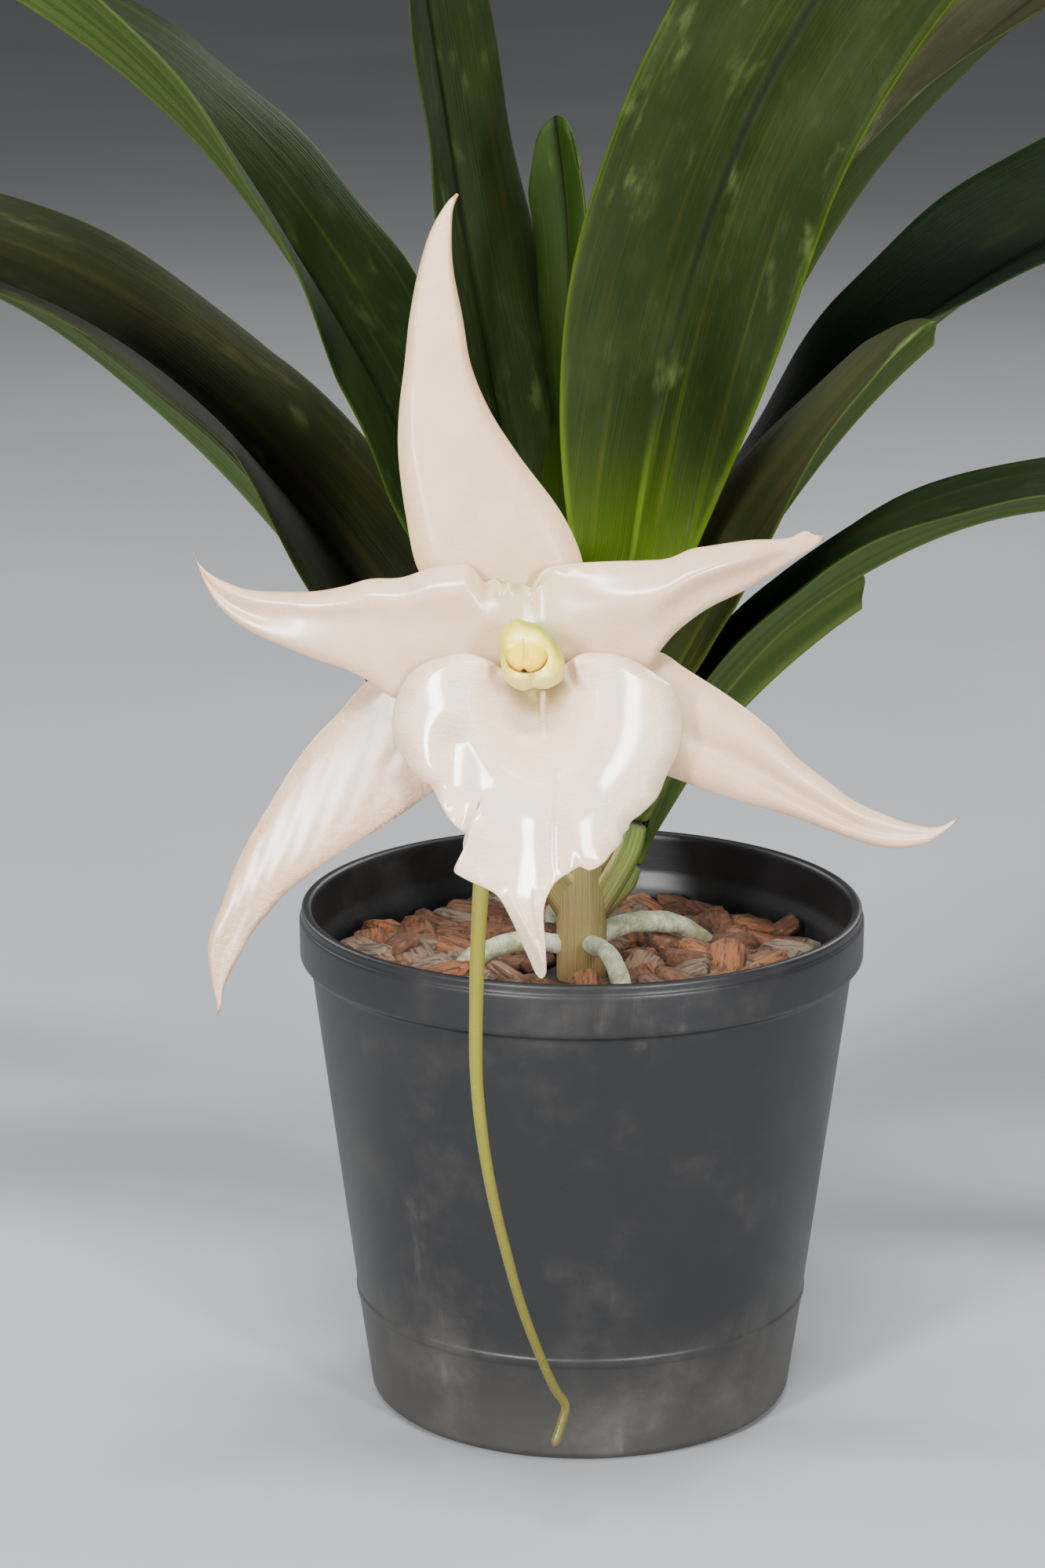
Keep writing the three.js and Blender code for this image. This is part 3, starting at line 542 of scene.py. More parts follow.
# Leaves. Eleven leathery straps in two ranks, each folded along its midrib and wider than thick by far,
# with two uneven lobes at its tip. Hard water has left grey blotches on them, and each has its own age.
# Their tones are darker than the leaves' own green by painted shade, some leaves more than others.
LEAF_TERMS = ("side", "foot", "lean", "forward", "length", "width", "turn", "fold", "notch")
LEAVES = {
    "leaf_heart": (1, (-1.6, 3, 180.8), (-2, 0, -10), (-2, -2, -1), 117, 19, (68, 14, 58), 20, 0),
    "leaf_right_front": (1, (8.5, -6.5, 178), (6, 22, 88), (1, 10, 26), 300, 53, (86, 72, 78), 16, 3),
    "leaf_right_back": (1, (12.5, 7.5, 168), (16, 35, 87), (-20, -24, -12), 285, 46, (27, -2, 50), 22, 3),
    "leaf_right_high": (1, (12.5, 5, 157), (24, 52, 125), (-2, -26, -16), 280, 49, (-37, 14, 70), 24, 3),
    "leaf_right_short": (1, (12.5, -6.5, 153), (21, 29, 48), (15, 8, 3), 124, 32, (25, 30, -4), 24, 3),
    "leaf_right_level": (1, (13, -3, 138), (24, 53, 136), (4, 20, 4), 205, 31, (4, -2, 18), 24, 3),
    "leaf_right_low": (1, (12, 7.5, 125), (27, 42, 62), (-20, -25, -19), 88, 38, (44, -44, -28), 24, 3),
    "leaf_left_upright": (-1, (-8.5, 6, 177), (12, 10, 1), (-11, -8, -3), 285, 36, (59, 33, 20), 22, 3),
    "leaf_left_high": (-1, (-11.5, -6.5, 161), (24, 27, 96), (17, 23, -6), 290, 45, (46, 30, -38), 22, 3),
    "leaf_left_back": (-1, (-12, 5.5, 144), (52, 45, 98), (-13, -18, -13), 230, 32, (16, 8, 19), 26, 3),
    "leaf_left_arched": (-1, (-12.5, -3.5, 136), (36, 44, 148), (-5, 9, 22), 292, 48, (82, 21, 14), 26, 3),
}
LEAVES = {name: dict(zip(LEAF_TERMS, row)) for name, row in LEAVES.items()}
LEAF_THICKNESS = 2.0
LEAF_KEEL = 0.9
FOOT_WIDTH = 0.3
FOOT_FOLD = 48
FOOT_THIN = 0.006
TIP_THIN = 0.016
TIP_ROUND = 12
TIP_STEP = 4
RIB_STEPS = 400
VALLEY = 0.06
LEAF_ROWS = 190
LEAF_SPAN = 33


def bend(ends, u):
    """The value at u of the parabola through three values, at the start, at two fifths and at the end."""
    start, middle, end = ends
    m = 0.4
    return (start * (u - m) * (u - 1) / m + middle * u * (u - 1) / (m * (m - 1))
            + end * u * (u - m) / (1 - m))


def midrib(leaf, distance):
    """The midrib is the sum of small steps along (sin lean cos forward, -sin forward, cos lean cos
    forward). Beside it, normal is the way the upper face looks: the inward direction turned towards
    the front, and across is square to both. Gives all four at each distance."""
    def way(u):
        lean = np.radians(bend(leaf["lean"], u)) * leaf["side"]
        forward = np.radians(bend(leaf["forward"], u))
        level = np.cos(forward)
        return np.stack([np.sin(lean) * level, -np.sin(forward), np.cos(lean) * level], -1), lean

    share = np.linspace(0, 1, RIB_STEPS + 1)
    steps = way((share[:-1] + share[1:]) / 2)[0] * leaf["length"] / RIB_STEPS
    spots = np.vstack([np.zeros((1, 3)), np.cumsum(steps, axis=0)]) + leaf["foot"]
    u = distance / leaf["length"]
    centre = np.stack([np.interp(u, share, spots[:, axis]) for axis in range(3)], -1)
    along, lean = way(u)
    inward = np.stack([-np.cos(lean) * leaf["side"], 0 * lean, np.sin(lean) * leaf["side"]], -1)
    front = np.cross(along, inward)
    front = front * -np.sign(front[..., 1:2])
    first, second, third = leaf["turn"]
    full = (first + (second - first) * np.clip(u / 0.4, 0, 1)
            + (third - second) * np.maximum(0, u - 0.4) / 0.6)
    turn = np.radians(full * step(u, 0, 0.09))[..., None]
    normal = inward * np.cos(turn) + front * np.sin(turn)
    return centre, along, normal, np.cross(along, normal)


def skin_grid(rows, span):
    """Rows u by columns v that run over the front of a blade and back under it: v goes from margin to
    margin, crowded at the margins, and the side is 1 over and -1 under."""
    front = np.sin(np.pi / 2 * np.linspace(-1, 1, span))
    u, v = np.meshgrid(rows, np.concatenate([front, front[-2:0:-1]]), indexing="ij")
    return u, v, np.broadcast_to(np.concatenate([np.ones(span), -np.ones(span - 2)]), u.shape)


def end_rows(count, foot, tip):
    """Rows from 0 to 1 with a few more near both ends, where the blade thins out and closes."""
    return np.concatenate([foot * np.array([0, 0.15, 0.45]), np.linspace(foot, 1 - tip, count),
                           1 - tip * np.array([0.7, 0.45, 0.25, 0.1, 0.02, 0])])


def closing(u, foot, tip):
    """1 along a blade, sqrt(u / foot) close to its foot and sqrt((1 - u) / tip) close to its tip."""
    return np.sqrt(np.clip(u / foot, 0, 1) * np.clip((1 - u) / tip, 0, 1))


def folded(frames, half_width, fold, v, side, thick, wave=0):
    """A blade's skin. The middle surface lies at centre + w (v cos f across + s(v) sin f normal), with
    s(v) the size of v made round in the valley, plus a slight camber on each arm; the skin stands half
    the thickness off it, square to the arm, with a groove along the top and a keel under it."""
    centre, _, normal, across = frames
    soft = np.sqrt(v * v + VALLEY**2)
    rise_v = (soft - VALLEY) / (math.sqrt(1 + VALLEY**2) - VALLEY)
    w = half_width[..., None]
    f = fold[..., None]
    camber = 0.05 * 4 * np.abs(v) * (1 - np.abs(v))
    raised = w * (rise_v[..., None] * np.sin(f) + camber[..., None]) + np.asarray(wave)[..., None]
    middle = centre + across * w * v[..., None] * np.cos(f) + normal * raised
    tilt = (v / soft)[..., None]
    up = normal * np.cos(f * np.abs(tilt)) - across * np.sin(f) * tilt
    up = up / np.linalg.norm(up, axis=-1, keepdims=True)
    from_rib = v * half_width
    half = LEAF_THICKNESS / 2 * (1 - 0.45 * v * v) * np.sqrt(np.maximum(0, 1 - v**12))
    groove = np.where(side > 0, 0.5 * np.exp(-(from_rib / 1.2) ** 2), 0)
    keel = np.where(side < 0, LEAF_KEEL * np.exp(-(from_rib / 1.9) ** 2), 0)
    return middle + up * ((side * (half - groove + keel)) * thick)[..., None]


def blade(leaf, seed):
    """The blade's skin with its marks: millimetres along and across it, and its u, v and face."""
    u, v, side = skin_grid(end_rows(LEAF_ROWS, FOOT_THIN, TIP_THIN), LEAF_SPAN)
    opening = FOOT_WIDTH + (1 - FOOT_WIDTH) * np.sin(np.pi / 2 * np.minimum(1, u / 0.35)) ** 0.8
    half_width = leaf["width"] / 2 * opening * (1 - 0.2 * u**8)
    fold = np.radians(leaf["fold"] + (FOOT_FOLD - leaf["fold"]) * np.maximum(0, 1 - u / 0.3) ** 1.5)
    trim = (leaf["notch"] * np.exp(-((v / 0.22) ** 2)) + TIP_ROUND * v**4
            + np.where(v < 0, TIP_STEP * np.abs(v), 0))
    distance = u * leaf["length"] - trim * u**10
    lot = np.random.default_rng(seed)
    pace, start = lot.uniform(34, 52, 4), lot.uniform(0, 6.3, 4)
    run = u * leaf["length"]
    margin = np.abs(v) ** 2.5 * step(u, 0.08, 0.3)
    ripple = np.where(v > 0, np.sin(6.283 * run / pace[0] + start[0]),
                      np.sin(6.283 * run / pace[1] + start[1]))
    dimple = np.sin(6.283 * run / (1.7 * pace[2]) + start[2] + 1.5 * v) * (1 - v * v) * step(u, 0.1, 0.3)
    wave = 0.45 * ripple * margin + 0.22 * dimple
    thick = closing(u, FOOT_THIN, TIP_THIN)
    grid = folded(midrib(leaf, distance), half_width, fold, v, side, thick, wave)
    grain = np.stack([distance, v * half_width, np.full_like(u, seed * 17.0)], -1)
    place = np.stack([u, v, (1 - side) / 2], -1)
    return grid, grain, place


def leaf_finish(name, deep, fresh, mineral, tan, chalk, yellow):
    """Leaf skin: deep green, fresher near the foot, the rib and the margins, with pale lines along it,
    chalky blotches, tan worn patches, a waxy gleam, a paler underside, and a dark line of painted shade
    along the midrib's groove beyond the foot. chalk and yellow say how much of the blotches and of the
    yellow foot there is."""
    look = Finish(name)
    grain = look.mark("grain")
    along, across, _ = look.parts(grain)
    _, v, under = look.parts(look.mark("place"))
    thread = look.noise(grain, (0.030, 2.4, 1), 4.0, 0.6)
    stripe = look.noise(grain, (0.008, 0.42, 1), 3.0, 0.5)
    cloud = look.noise(grain, (0.020, 0.050, 1), 5.0, 0.62, 0.4)
    blot = look.noise(grain, (0.10, 0.26, 1.3), 4.0, 0.5, 0.1)
    haze = look.noise(grain, (0.028, 0.060, 2.1), 4.0, 0.6, 0.1)
    speck = look.noise(grain, (0.9, 2.2, 1), 4.0, 0.7)
    from_rib = abs(across)
    edge = abs(v)
    rib = from_rib.rise(1.6, 0.25)
    foot = along.rise(70.0, 8.0)
    lively = (foot * yellow + rib * foot * 0.9 + edge.rise(0.90, 0.99) * along.rise(120.0, 20.0) * 0.8
              + stripe.rise(0.52, 0.74) * 0.38 + cloud.rise(0.5, 0.75) * 0.22)
    crust = (blot.rise(0.44, 0.80) * cloud.rise(0.36, 0.66) * (0.45 + speck * 0.8)).rise(0.05, 0.95)
    over = look.coats(
        deep,
        (lively.rise(0.0, 1.15), fresh),
        (thread.rise(0.56, 0.78) * 0.22, mineral),
        (haze.rise(0.42, 0.72) * (0.04 + thread * 0.24) * chalk, mineral),
        (crust * (0.8 * chalk), mineral),
        ((cloud * -1 + stripe).rise(0.02, 0.22) * 0.35, tan),
        (edge.rise(0.965, 0.995) * 0.55, fresh),
        # Painted shade: a dark line along the midrib beyond the foot, the shadow in its groove.
        (from_rib.rise(1.5, 0.2) * along.rise(40.0, 110.0) * 0.8, (7, 13, 3)))
    pale = look.coats((46, 64, 24), (stripe.rise(0.3, 0.7), (62, 80, 34)), (rib, (88, 100, 44)))
    skin = look.mix(under.rise(0.4, 0.6), over, pale)
    rough = 0.46 + crust * (0.30 * chalk) + haze * (0.16 * chalk) + under * 0.14 + thread * 0.06
    ridges = look.bump(thread * 0.7 + stripe * 0.9, 0.00022)
    relief = look.bump(blot * 0.6 + speck * 0.12, 0.00030, ridges)
    return look.done(skin, rough, relief, {"Specular IOR Level": 0.11})


# Their deep, fresh, chalky and tan tones, each darkened by painted shade, some leaves more than
# others, and how much chalk and how yellow a foot they have.
LEAF_TONES_AND_SHADE = {
    "leaf_heart": ((28, 46, 8), (60, 86, 14), (70, 84, 44), (58, 58, 18), 0.5, 0.75),
    "leaf_right_front": ((18, 31, 2), (60, 81, 5), (65, 76, 37), (40, 40, 6), 1.0, 0.85),
    "leaf_right_back": ((32, 34, 14), (52, 56, 22), (84, 84, 60), (58, 48, 22), 0.9, 0.3),
    "leaf_right_high": ((7, 23, 4), (22, 44, 6), (33, 48, 20), (30, 30, 6), 0.5, 0.4),
    "leaf_right_short": ((28, 34, 9), (54, 62, 14), (72, 74, 44), (50, 44, 14), 0.9, 0.5),
    "leaf_right_level": ((9, 21, 3), (30, 44, 7), (38, 48, 20), (34, 30, 7), 0.6, 0.4),
    "leaf_right_low": ((11, 23, 4), (33, 46, 7), (42, 52, 22), (38, 34, 7), 0.6, 0.4),
    "leaf_left_upright": ((17, 29, 2), (40, 56, 5), (55, 64, 29), (40, 37, 7), 1.0, 0.55),
    "leaf_left_high": ((12, 27, 2), (49, 71, 5), (52, 66, 30), (36, 38, 5), 0.6, 0.8),
    "leaf_left_back": ((18, 29, 4), (40, 54, 7), (56, 66, 28), (48, 40, 9), 0.6, 0.4),
    "leaf_left_arched": ((20, 25, 5), (47, 54, 10), (60, 62, 32), (44, 38, 10), 1.0, 0.45),
}
for number, (name, leaf) in enumerate(LEAVES.items()):
    grid, grain, place = blade(leaf, number + 3)
    leaf_skin = leaf_finish(name + "_skin", *LEAF_TONES_AND_SHADE[name])
    leaf_marks = {"grain": [grain], "place": [place]}
    make(name + "_blade", [grid], leaf_skin, [name], leaf_marks, caps=False)


# Stem. A short upright stem hidden by the feet of the leaves: each leaf ends in a tough folded sheath
# that clasps the next one. The old sheaths are fibrous, and brown and papery at their edges.
STEM_FOOT = 82.0
STEM_HEAD = 180.0
SHEATH_FOOT = 114.0
SHEATH_ROWS = 40
SHEATH_SPAN = 25
SHEATH_START = -0.35
SHEATH_DROP = 30
SHEATH_CLOSING = 16

look = Finish("leaf_sheath")
down, edge, _ = look.parts(look.mark("place"))
strand = look.noise(look.mark("grain"), (0.05, 2.6, 1), 4.0, 0.6)
patch = look.noise(look.place(), 60.0, 5.0, 0.6)
sheath_colour = look.coats(
    (82, 100, 44),
    (strand.rise(0.35, 0.7), (124, 138, 66)),
    ((down * 0.75 + patch * 0.8 - 0.42).rise(0.1, 0.75), (122, 96, 58)),
    ((abs(edge) + patch * 0.3).rise(0.92, 1.15) * 0.8, (164, 140, 98)),
    (down.rise(0.06, 0.015), (70, 62, 34)))
sheath_skin = look.done(sheath_colour, 0.58, look.bump(strand, 0.0005))


def core_radius(u, a):
    """The hidden core: swollen low down, thinner towards its head, with shallow flutes."""
    return 5.2 + 0.9 * np.sin(np.pi * np.minimum(1, u * 1.5)) - 1.1 * u + 0.12 * np.sin(9 * a)


def sheath(leaf, seed):
    """The blade's foot carried down to the core: the folded section slides along a line that bows out,
    its fold closing further, and a little wider lower down."""
    t, v, side = skin_grid(np.linspace(0, 1, SHEATH_ROWS), SHEATH_SPAN)
    centre, along, normal, across = midrib(leaf, np.full(t.shape, SHEATH_START))
    root = np.array([leaf["side"] * 3.5, 0, max(SHEATH_FOOT, leaf["foot"][2] - SHEATH_DROP)])
    moved = centre + (root - centre) * t[..., None]
    moved[..., 0] += leaf["side"] * 2.2 * np.sin(np.pi * t) * (1 - t)
    half_width = leaf["width"] / 2 * FOOT_WIDTH * (1 + 0.1 * t)
    fold = np.radians(FOOT_FOLD + SHEATH_CLOSING * t)
    thick = (1 + 0.25 * np.sin(np.pi * t)) * np.sqrt(np.clip(t / 0.03, 0, 1))
    grid = folded((moved, along, normal, across), half_width, fold, v, side, thick)
    grain = np.stack([t * SHEATH_DROP, v * half_width, np.full_like(t, seed * 13.0)], -1)
    return grid, grain, np.stack([t, v, (1 - side) / 2], -1)


core_line = [(0, 0, STEM_FOOT), (0, 0, 120), (0, 0, 150), (0, 0, STEM_HEAD)]
core, core_run = tube(core_line, core_radius, 60, 40, (1, 0, 0))
core_u, core_angle = core_run[..., 0], core_run[..., 1]
core_grain = np.stack([core_u * (STEM_HEAD - STEM_FOOT), core_angle * 5, 0 * core_u], -1)
core_place = np.stack([0.4 + 0.6 * (1 - core_u), 0 * core_u, 0 * core_u], -1)
stem_grids, stem_grain, stem_place = [core], [core_grain], [core_place]
for number, (name, leaf) in enumerate(LEAVES.items()):
    if name != "leaf_heart":
        grid, grain, place = sheath(leaf, number)
        stem_grids.append(grid)
        stem_grain.append(grain)
        stem_place.append(place)
make("stem_sheaths", stem_grids, sheath_skin, ["stem"], {"grain": stem_grain, "place": stem_place})


# Flower stalk. It leaves the stem in a low axil and runs forward through two clasping papery bracts to
# the ribbed knob, the ovary's end, that carries the flower.
KNOB_ROWS = [(-13.8, 2.4), (-13.4, 3.6), (-12.6, 4.6), (-10.6, 5.1), (-9.3, 4.6), (-8.65, 3.6)]
COLUMN_FOOT = (0.0, 1.0)
KNOB_SIDES = 60
BRACTS = (0.2, 0.5)
BRACT_REACH = 6
STALK_STEPS = 150
STALK_SIDES = 30


def face(x, up, out):
    """A point of the flower's open face: x to the right, up the face, and out of it to the viewer."""
    tilt_cos, tilt_sin = math.cos(FACE_TILT), math.sin(FACE_TILT)
    x, up, out = np.broadcast_arrays(x, up, out)
    return FLOWER_CENTRE + np.stack([x, up * tilt_sin - out * tilt_cos, up * tilt_cos + out * tilt_sin], -1)


STALK_LINE = [(2, -4, 132), (3, -14, 141), (2, -32, 156), (-2, -56, 175), (-8, -82, 192),
              (-11.5, -102, 201.5), tuple(face(*COLUMN_FOOT, -12.2).tolist())]

look = Finish("flower_stalk_skin")
spot = look.place()
share, _, bract = look.parts(look.mark("run"))
mottle = look.noise(spot, 220.0, 4.0, 0.6)
fine = look.noise(spot, (1800, 450, 900), 3.0)
stalk_green = look.coats(
    (118, 138, 62),
    (mottle.rise(0.4, 0.65), (142, 152, 84)),
    (share.rise(0.75, 1.0) * 0.6, (186, 192, 138)))
bract_brown = look.coats((146, 122, 76), (fine.rise(0.4, 0.65), (112, 92, 56)))
stalk_bump = look.bump(fine * 0.6 + mottle * 0.5, 0.00025)
stalk_skin = look.done(look.mix(bract, stalk_green, bract_brown), 0.5, stalk_bump)


def stalk_radius(u, a):
    """Thinner towards the flower until it swells below the knob, with six faint ribs."""
    return 2.5 - 0.4 * u + 0.9 * step(u, 0.72, 0.95) + 0.10 * np.sin(6 * a) * step(u, 0.5, 0.9)


stalk_grid, stalk_run = tube(STALK_LINE, stalk_radius, STALK_STEPS, STALK_SIDES, (1, 0, 0))
stalk_grids, stalk_runs = [stalk_grid], [stalk_run]
stalk_shares = even_shares(STALK_LINE, 101)
for share in BRACTS:
    along = int(share * 100) + np.array([0, BRACT_REACH, 2 * BRACT_REACH])
    spots = smooth_line(STALK_LINE, stalk_shares[along])

    def clasp(u, a):
        """A bract: a ribbed cone that widens towards its mouth and closes round the stalk there."""
        return (3.0 + 1.05 * u) * np.sqrt(np.clip((1.0 - u) / 0.04, 0.05, 1)) * (1 + 0.03 * np.sin(14 * a))

    grid, run = tube(spots.tolist(), clasp, 26, STALK_SIDES, (1, 0, 0))
    run[..., 2] = 1
    stalk_grids.append(grid)
    stalk_runs.append(run)
out, radius = smooth_line(KNOB_ROWS, even_shares(KNOB_ROWS, 20)).T
angle = np.linspace(0, 2 * np.pi, KNOB_SIDES, endpoint=False)
ribbed = radius[:, None] * (1 + 0.035 * np.cos(6 * angle))
stalk_grids.append(face(COLUMN_FOOT[0] + ribbed * np.cos(angle), COLUMN_FOOT[1] + ribbed * np.sin(angle),
                        out[:, None]))
knob_run = np.zeros_like(stalk_grids[-1])
knob_run[..., 0] = 1
stalk_runs.append(knob_run)
make("stalk_and_bracts", stalk_grids, stalk_skin, ["flower_stalk"], {"run": stalk_runs})


# Sepals and petals. Thick, waxy white blades with a crystalline skin: the upper sepal and two lower ones
# lie behind, and the two petals before them, broad at the foot, where they meet above the column.

# From foot to tip, a point of the one margin and of the other, across and up the face.
TEPALS = {
    "dorsal_sepal": [
        (-4.0, 4.6, 4.0, 5.0), (-11.5, 8.5, 8.5, 8.5), (-18.6, 12.6, 11.6, 13.0),
        (-21.4, 16.5, 11.2, 18.0), (-23.7, 27.0, 7.3, 27.0), (-25.2, 39.4, -1.4, 38.8),
        (-25.0, 47.7, -7.0, 47.5), (-24.0, 56.3, -10.7, 56.3), (-22.9, 66.3, -12.5, 66.3),
        (-21.1, 75.6, -14.3, 75.6), (-18.6, 83.5, -14.6, 83.0), (-15.5, 88.7, -14.2, 87.8),
        (-13.7, 90.5, -13.2, 90.2)],
    "petal_left": [
        (3.0, 11.6, 2.8, -1.2), (1.2, 12.6, 0.2, -2.4), (-0.8, 13.4, -2.4, -4.0),
        (-3.0, 13.7, -4.8, -5.4), (-4.6, 13.3, -6.6, -6.4), (-6.0, 14.4, -8.2, -7.2),
        (-8.2, 13.7, -10.4, -8.0), (-9.3, 15.1, -12.0, -8.5), (-11.2, 17.1, -13.8, -9.0),
        (-14.1, 17.1, -17.0, -9.5), (-18.4, 16.6, -21.5, -9.9), (-24.6, 14.6, -26.5, -9.0),
        (-30.8, 14.3, -30.8, -6.0), (-35.8, 12.9, -35.6, -3.6), (-41.4, 11.9, -41.4, -1.7),
        (-47.7, 11.8, -47.7, 0.9), (-54.6, 12.2, -53.6, 3.5), (-58.9, 13.6, -57.9, 6.2),
        (-62.0, 15.2, -61.4, 9.9), (-64.5, 17.4, -63.9, 14.6), (-66.0, 20.0, -65.5, 19.8)],
    "petal_right": [
        (0.5, 11.4, 0.7, -1.0), (1.7, 13.6, 3.4, -2.2), (3.4, 16.0, 6.4, -3.4), (6.1, 17.0, 9.4, -4.8),
        (10.9, 17.5, 15.0, -6.0), (16.7, 17.8, 20.0, -5.4), (24.2, 18.0, 24.3, -3.2),
        (28.2, 18.4, 26.7, 0.2), (32.6, 20.2, 29.6, 3.6), (36.0, 20.8, 33.1, 6.5),
        (38.6, 21.2, 36.6, 8.8), (44.5, 22.0, 43.0, 11.9), (49.9, 22.2, 49.4, 15.7),
        (52.4, 22.6, 53.3, 18.1), (55.3, 23.8, 56.3, 19.9), (56.9, 23.1, 58.0, 21.2),
        (59.1, 23.0, 58.9, 22.1)],
    "lateral_sepal_left": [
        (-5.4, 1.2, -2.2, -3.0), (-12.8, 0.1, -5.2, -10.1), (-22.0, -1.5, -9.6, -19.1),
        (-31.8, -6.4, -16.5, -26.2), (-37.0, -12.2, -22.2, -30.5), (-41.6, -16.9, -28.3, -34.6),
        (-46.3, -23.1, -33.6, -37.9), (-50.8, -30.5, -38.9, -41.4), (-54.9, -37.4, -43.6, -44.7),
        (-58.0, -43.8, -47.6, -48.0), (-60.1, -49.9, -51.0, -51.9), (-62.0, -54.6, -54.0, -55.6),
        (-62.8, -58.0, -56.2, -59.6), (-62.5, -62.4, -58.2, -63.2), (-61.8, -66.4, -59.7, -66.8),
        (-61.0, -70.0, -60.1, -70.0), (-61.2, -71.8, -60.9, -71.9)],
    "lateral_sepal_right": [
        (5.0, 1.6, 2.6, -3.0), (11.8, 1.3, 6.2, -9.7), (19.5, 1.0, 11.6, -17.0),
        (26.7, -0.2, 20.0, -22.0), (31.8, -3.5, 28.6, -24.8), (38.6, -7.8, 34.0, -26.8),
        (44.2, -11.8, 40.0, -28.9), (48.9, -15.7, 45.5, -30.5), (53.8, -21.0, 51.4, -32.2),
        (59.3, -25.3, 57.4, -34.4), (65.0, -29.5, 63.2, -36.6), (70.2, -31.9, 69.1, -38.4),
        (75.3, -33.8, 74.1, -38.9), (80.0, -34.7, 79.5, -37.9), (82.5, -34.3, 82.5, -36.0),
        (84.0, -33.5, 84.4, -34.4), (85.6, -32.6, 85.7, -32.9)],
}
PETAL_THICKNESS = 1.7
PETAL_FOOT = 0.008
PETAL_TIP = 0.012
TEPAL_ROWS = 170
TEPAL_SPAN = 61
MIDDLE_STEPS = 400


def seen(x, up, out):
    """A point that shows at x and up from the camera, drawn nearer to or further from the aim so that
    it still does when it lies out of the face."""
    spread = 1 - out / VIEW_DISTANCE
    return face(AIM[0] + (x - AIM[0]) * spread, AIM[1] + (up - AIM[1]) * spread, out)


def hill(x, middle, reach):
    """A rounded hill of height one: exp(-((x - middle) / reach)^2)."""
    return np.exp(-(((x - middle) / reach) ** 2))


def dorsal_relief(u, v, w):
    """Gently arched, with the right margin rolled forward near the tip."""
    return 0.8 * step(-v, 0.1, 1) * step(u, 0.55, 0.95) + 0.25 * np.sin(9 * u + 2 * v) * (1 - v * v)


def left_petal_relief(u, v, w):
    """A dished foot whose upper margin is thrown into small ruffles, then a soft channel to the tip.
    The upper part swells towards the viewer, and its margin turns back over."""
    ruffle = 1.25 * np.sin(75 * u + 0.6) * step(v, 0.66, 1) * step(-u, -0.22, -0.15)
    scallop = 0.20 * np.sin(95 * u) * step(v, 0.8, 1) * step(u, 0.2, 0.3)
    channel = -1.2 * hill(v, -0.1, 0.4) * step(u, 0.62, 0.8)
    swell = 1.7 * hill(v, 0.62, 0.30) * step(u, 0.10, 0.22) * step(-u, -0.9, -0.45)
    return ruffle + scallop + channel + swell - 0.55 * (1 - step(u, 0, 0.06))


def right_petal_relief(u, v, w):
    """The foot's upper corner curls forward, and the blade swells along its upper part."""
    curl = 1.5 * step(v, 0.74, 1) * hill(u, 0.055, 0.045)
    swell = 2.3 * hill(v, 0.28, 0.42) * step(u, 0.05, 0.35) * step(-u, -0.95, -0.72)
    return curl + swell + 0.15 * np.sin(80 * u) * step(v, 0.8, 1) - 0.6 * (1 - step(u, 0, 0.06))


def left_lateral_relief(u, v, w):
    """Broad, flat and turned a little to the left, slightly wrinkled, with beaded margins and a
    channelled tip."""
    turned = -0.20 * w * v * step(u, 0.10, 0.30)
    wrinkle = 0.05 * np.sin(52 * u + 5 * v) * np.sin(9 * v + 14 * u) * (1 - v**4) * step(u, 0.15, 0.3)
    bead = 0.22 * np.sin(150 * u) * step(np.abs(v), 0.8, 1) * step(u, 0.5, 0.75)
    channel = -1.1 * hill(v, 0.0, 0.4) * step(u, 0.72, 0.9)
    return turned + wrinkle + bead + channel - 0.35 * hill(v, -0.15, 0.10) * step(-u, -0.4, -0.2)


def right_lateral_relief(u, v, w):
    """A valley runs along it below the middle, and the tip is channelled."""
    valley = -1.5 * hill(v, -0.15, 0.3) * step(u, 0.25, 0.45) * step(-u, -0.9, -0.7)
    channel = -0.8 * hill(v, 0.1, 0.4) * step(u, 0.74, 0.9)
    return valley + channel + 0.15 * np.sin(110 * u) * step(np.abs(v), 0.8, 1) * step(u, 0.5, 0.7)


TEPAL_FORMS = {
    "dorsal_sepal": ((-7.3, -5.5, -13), 0.13, 1.2, dorsal_relief),
    "lateral_sepal_left": ((-7.3, -9.6, -16.5), 0.06, 1.0, left_lateral_relief),
    "lateral_sepal_right": ((-7.3, -7.5, -17), 0.14, 1.1, right_lateral_relief),
    "petal_left": ((-3.4, -2.2, -13), 0.07, 0.6, left_petal_relief),
    "petal_right": ((-3.2, -2.2, -12), 0.08, 0.6, right_petal_relief),
}


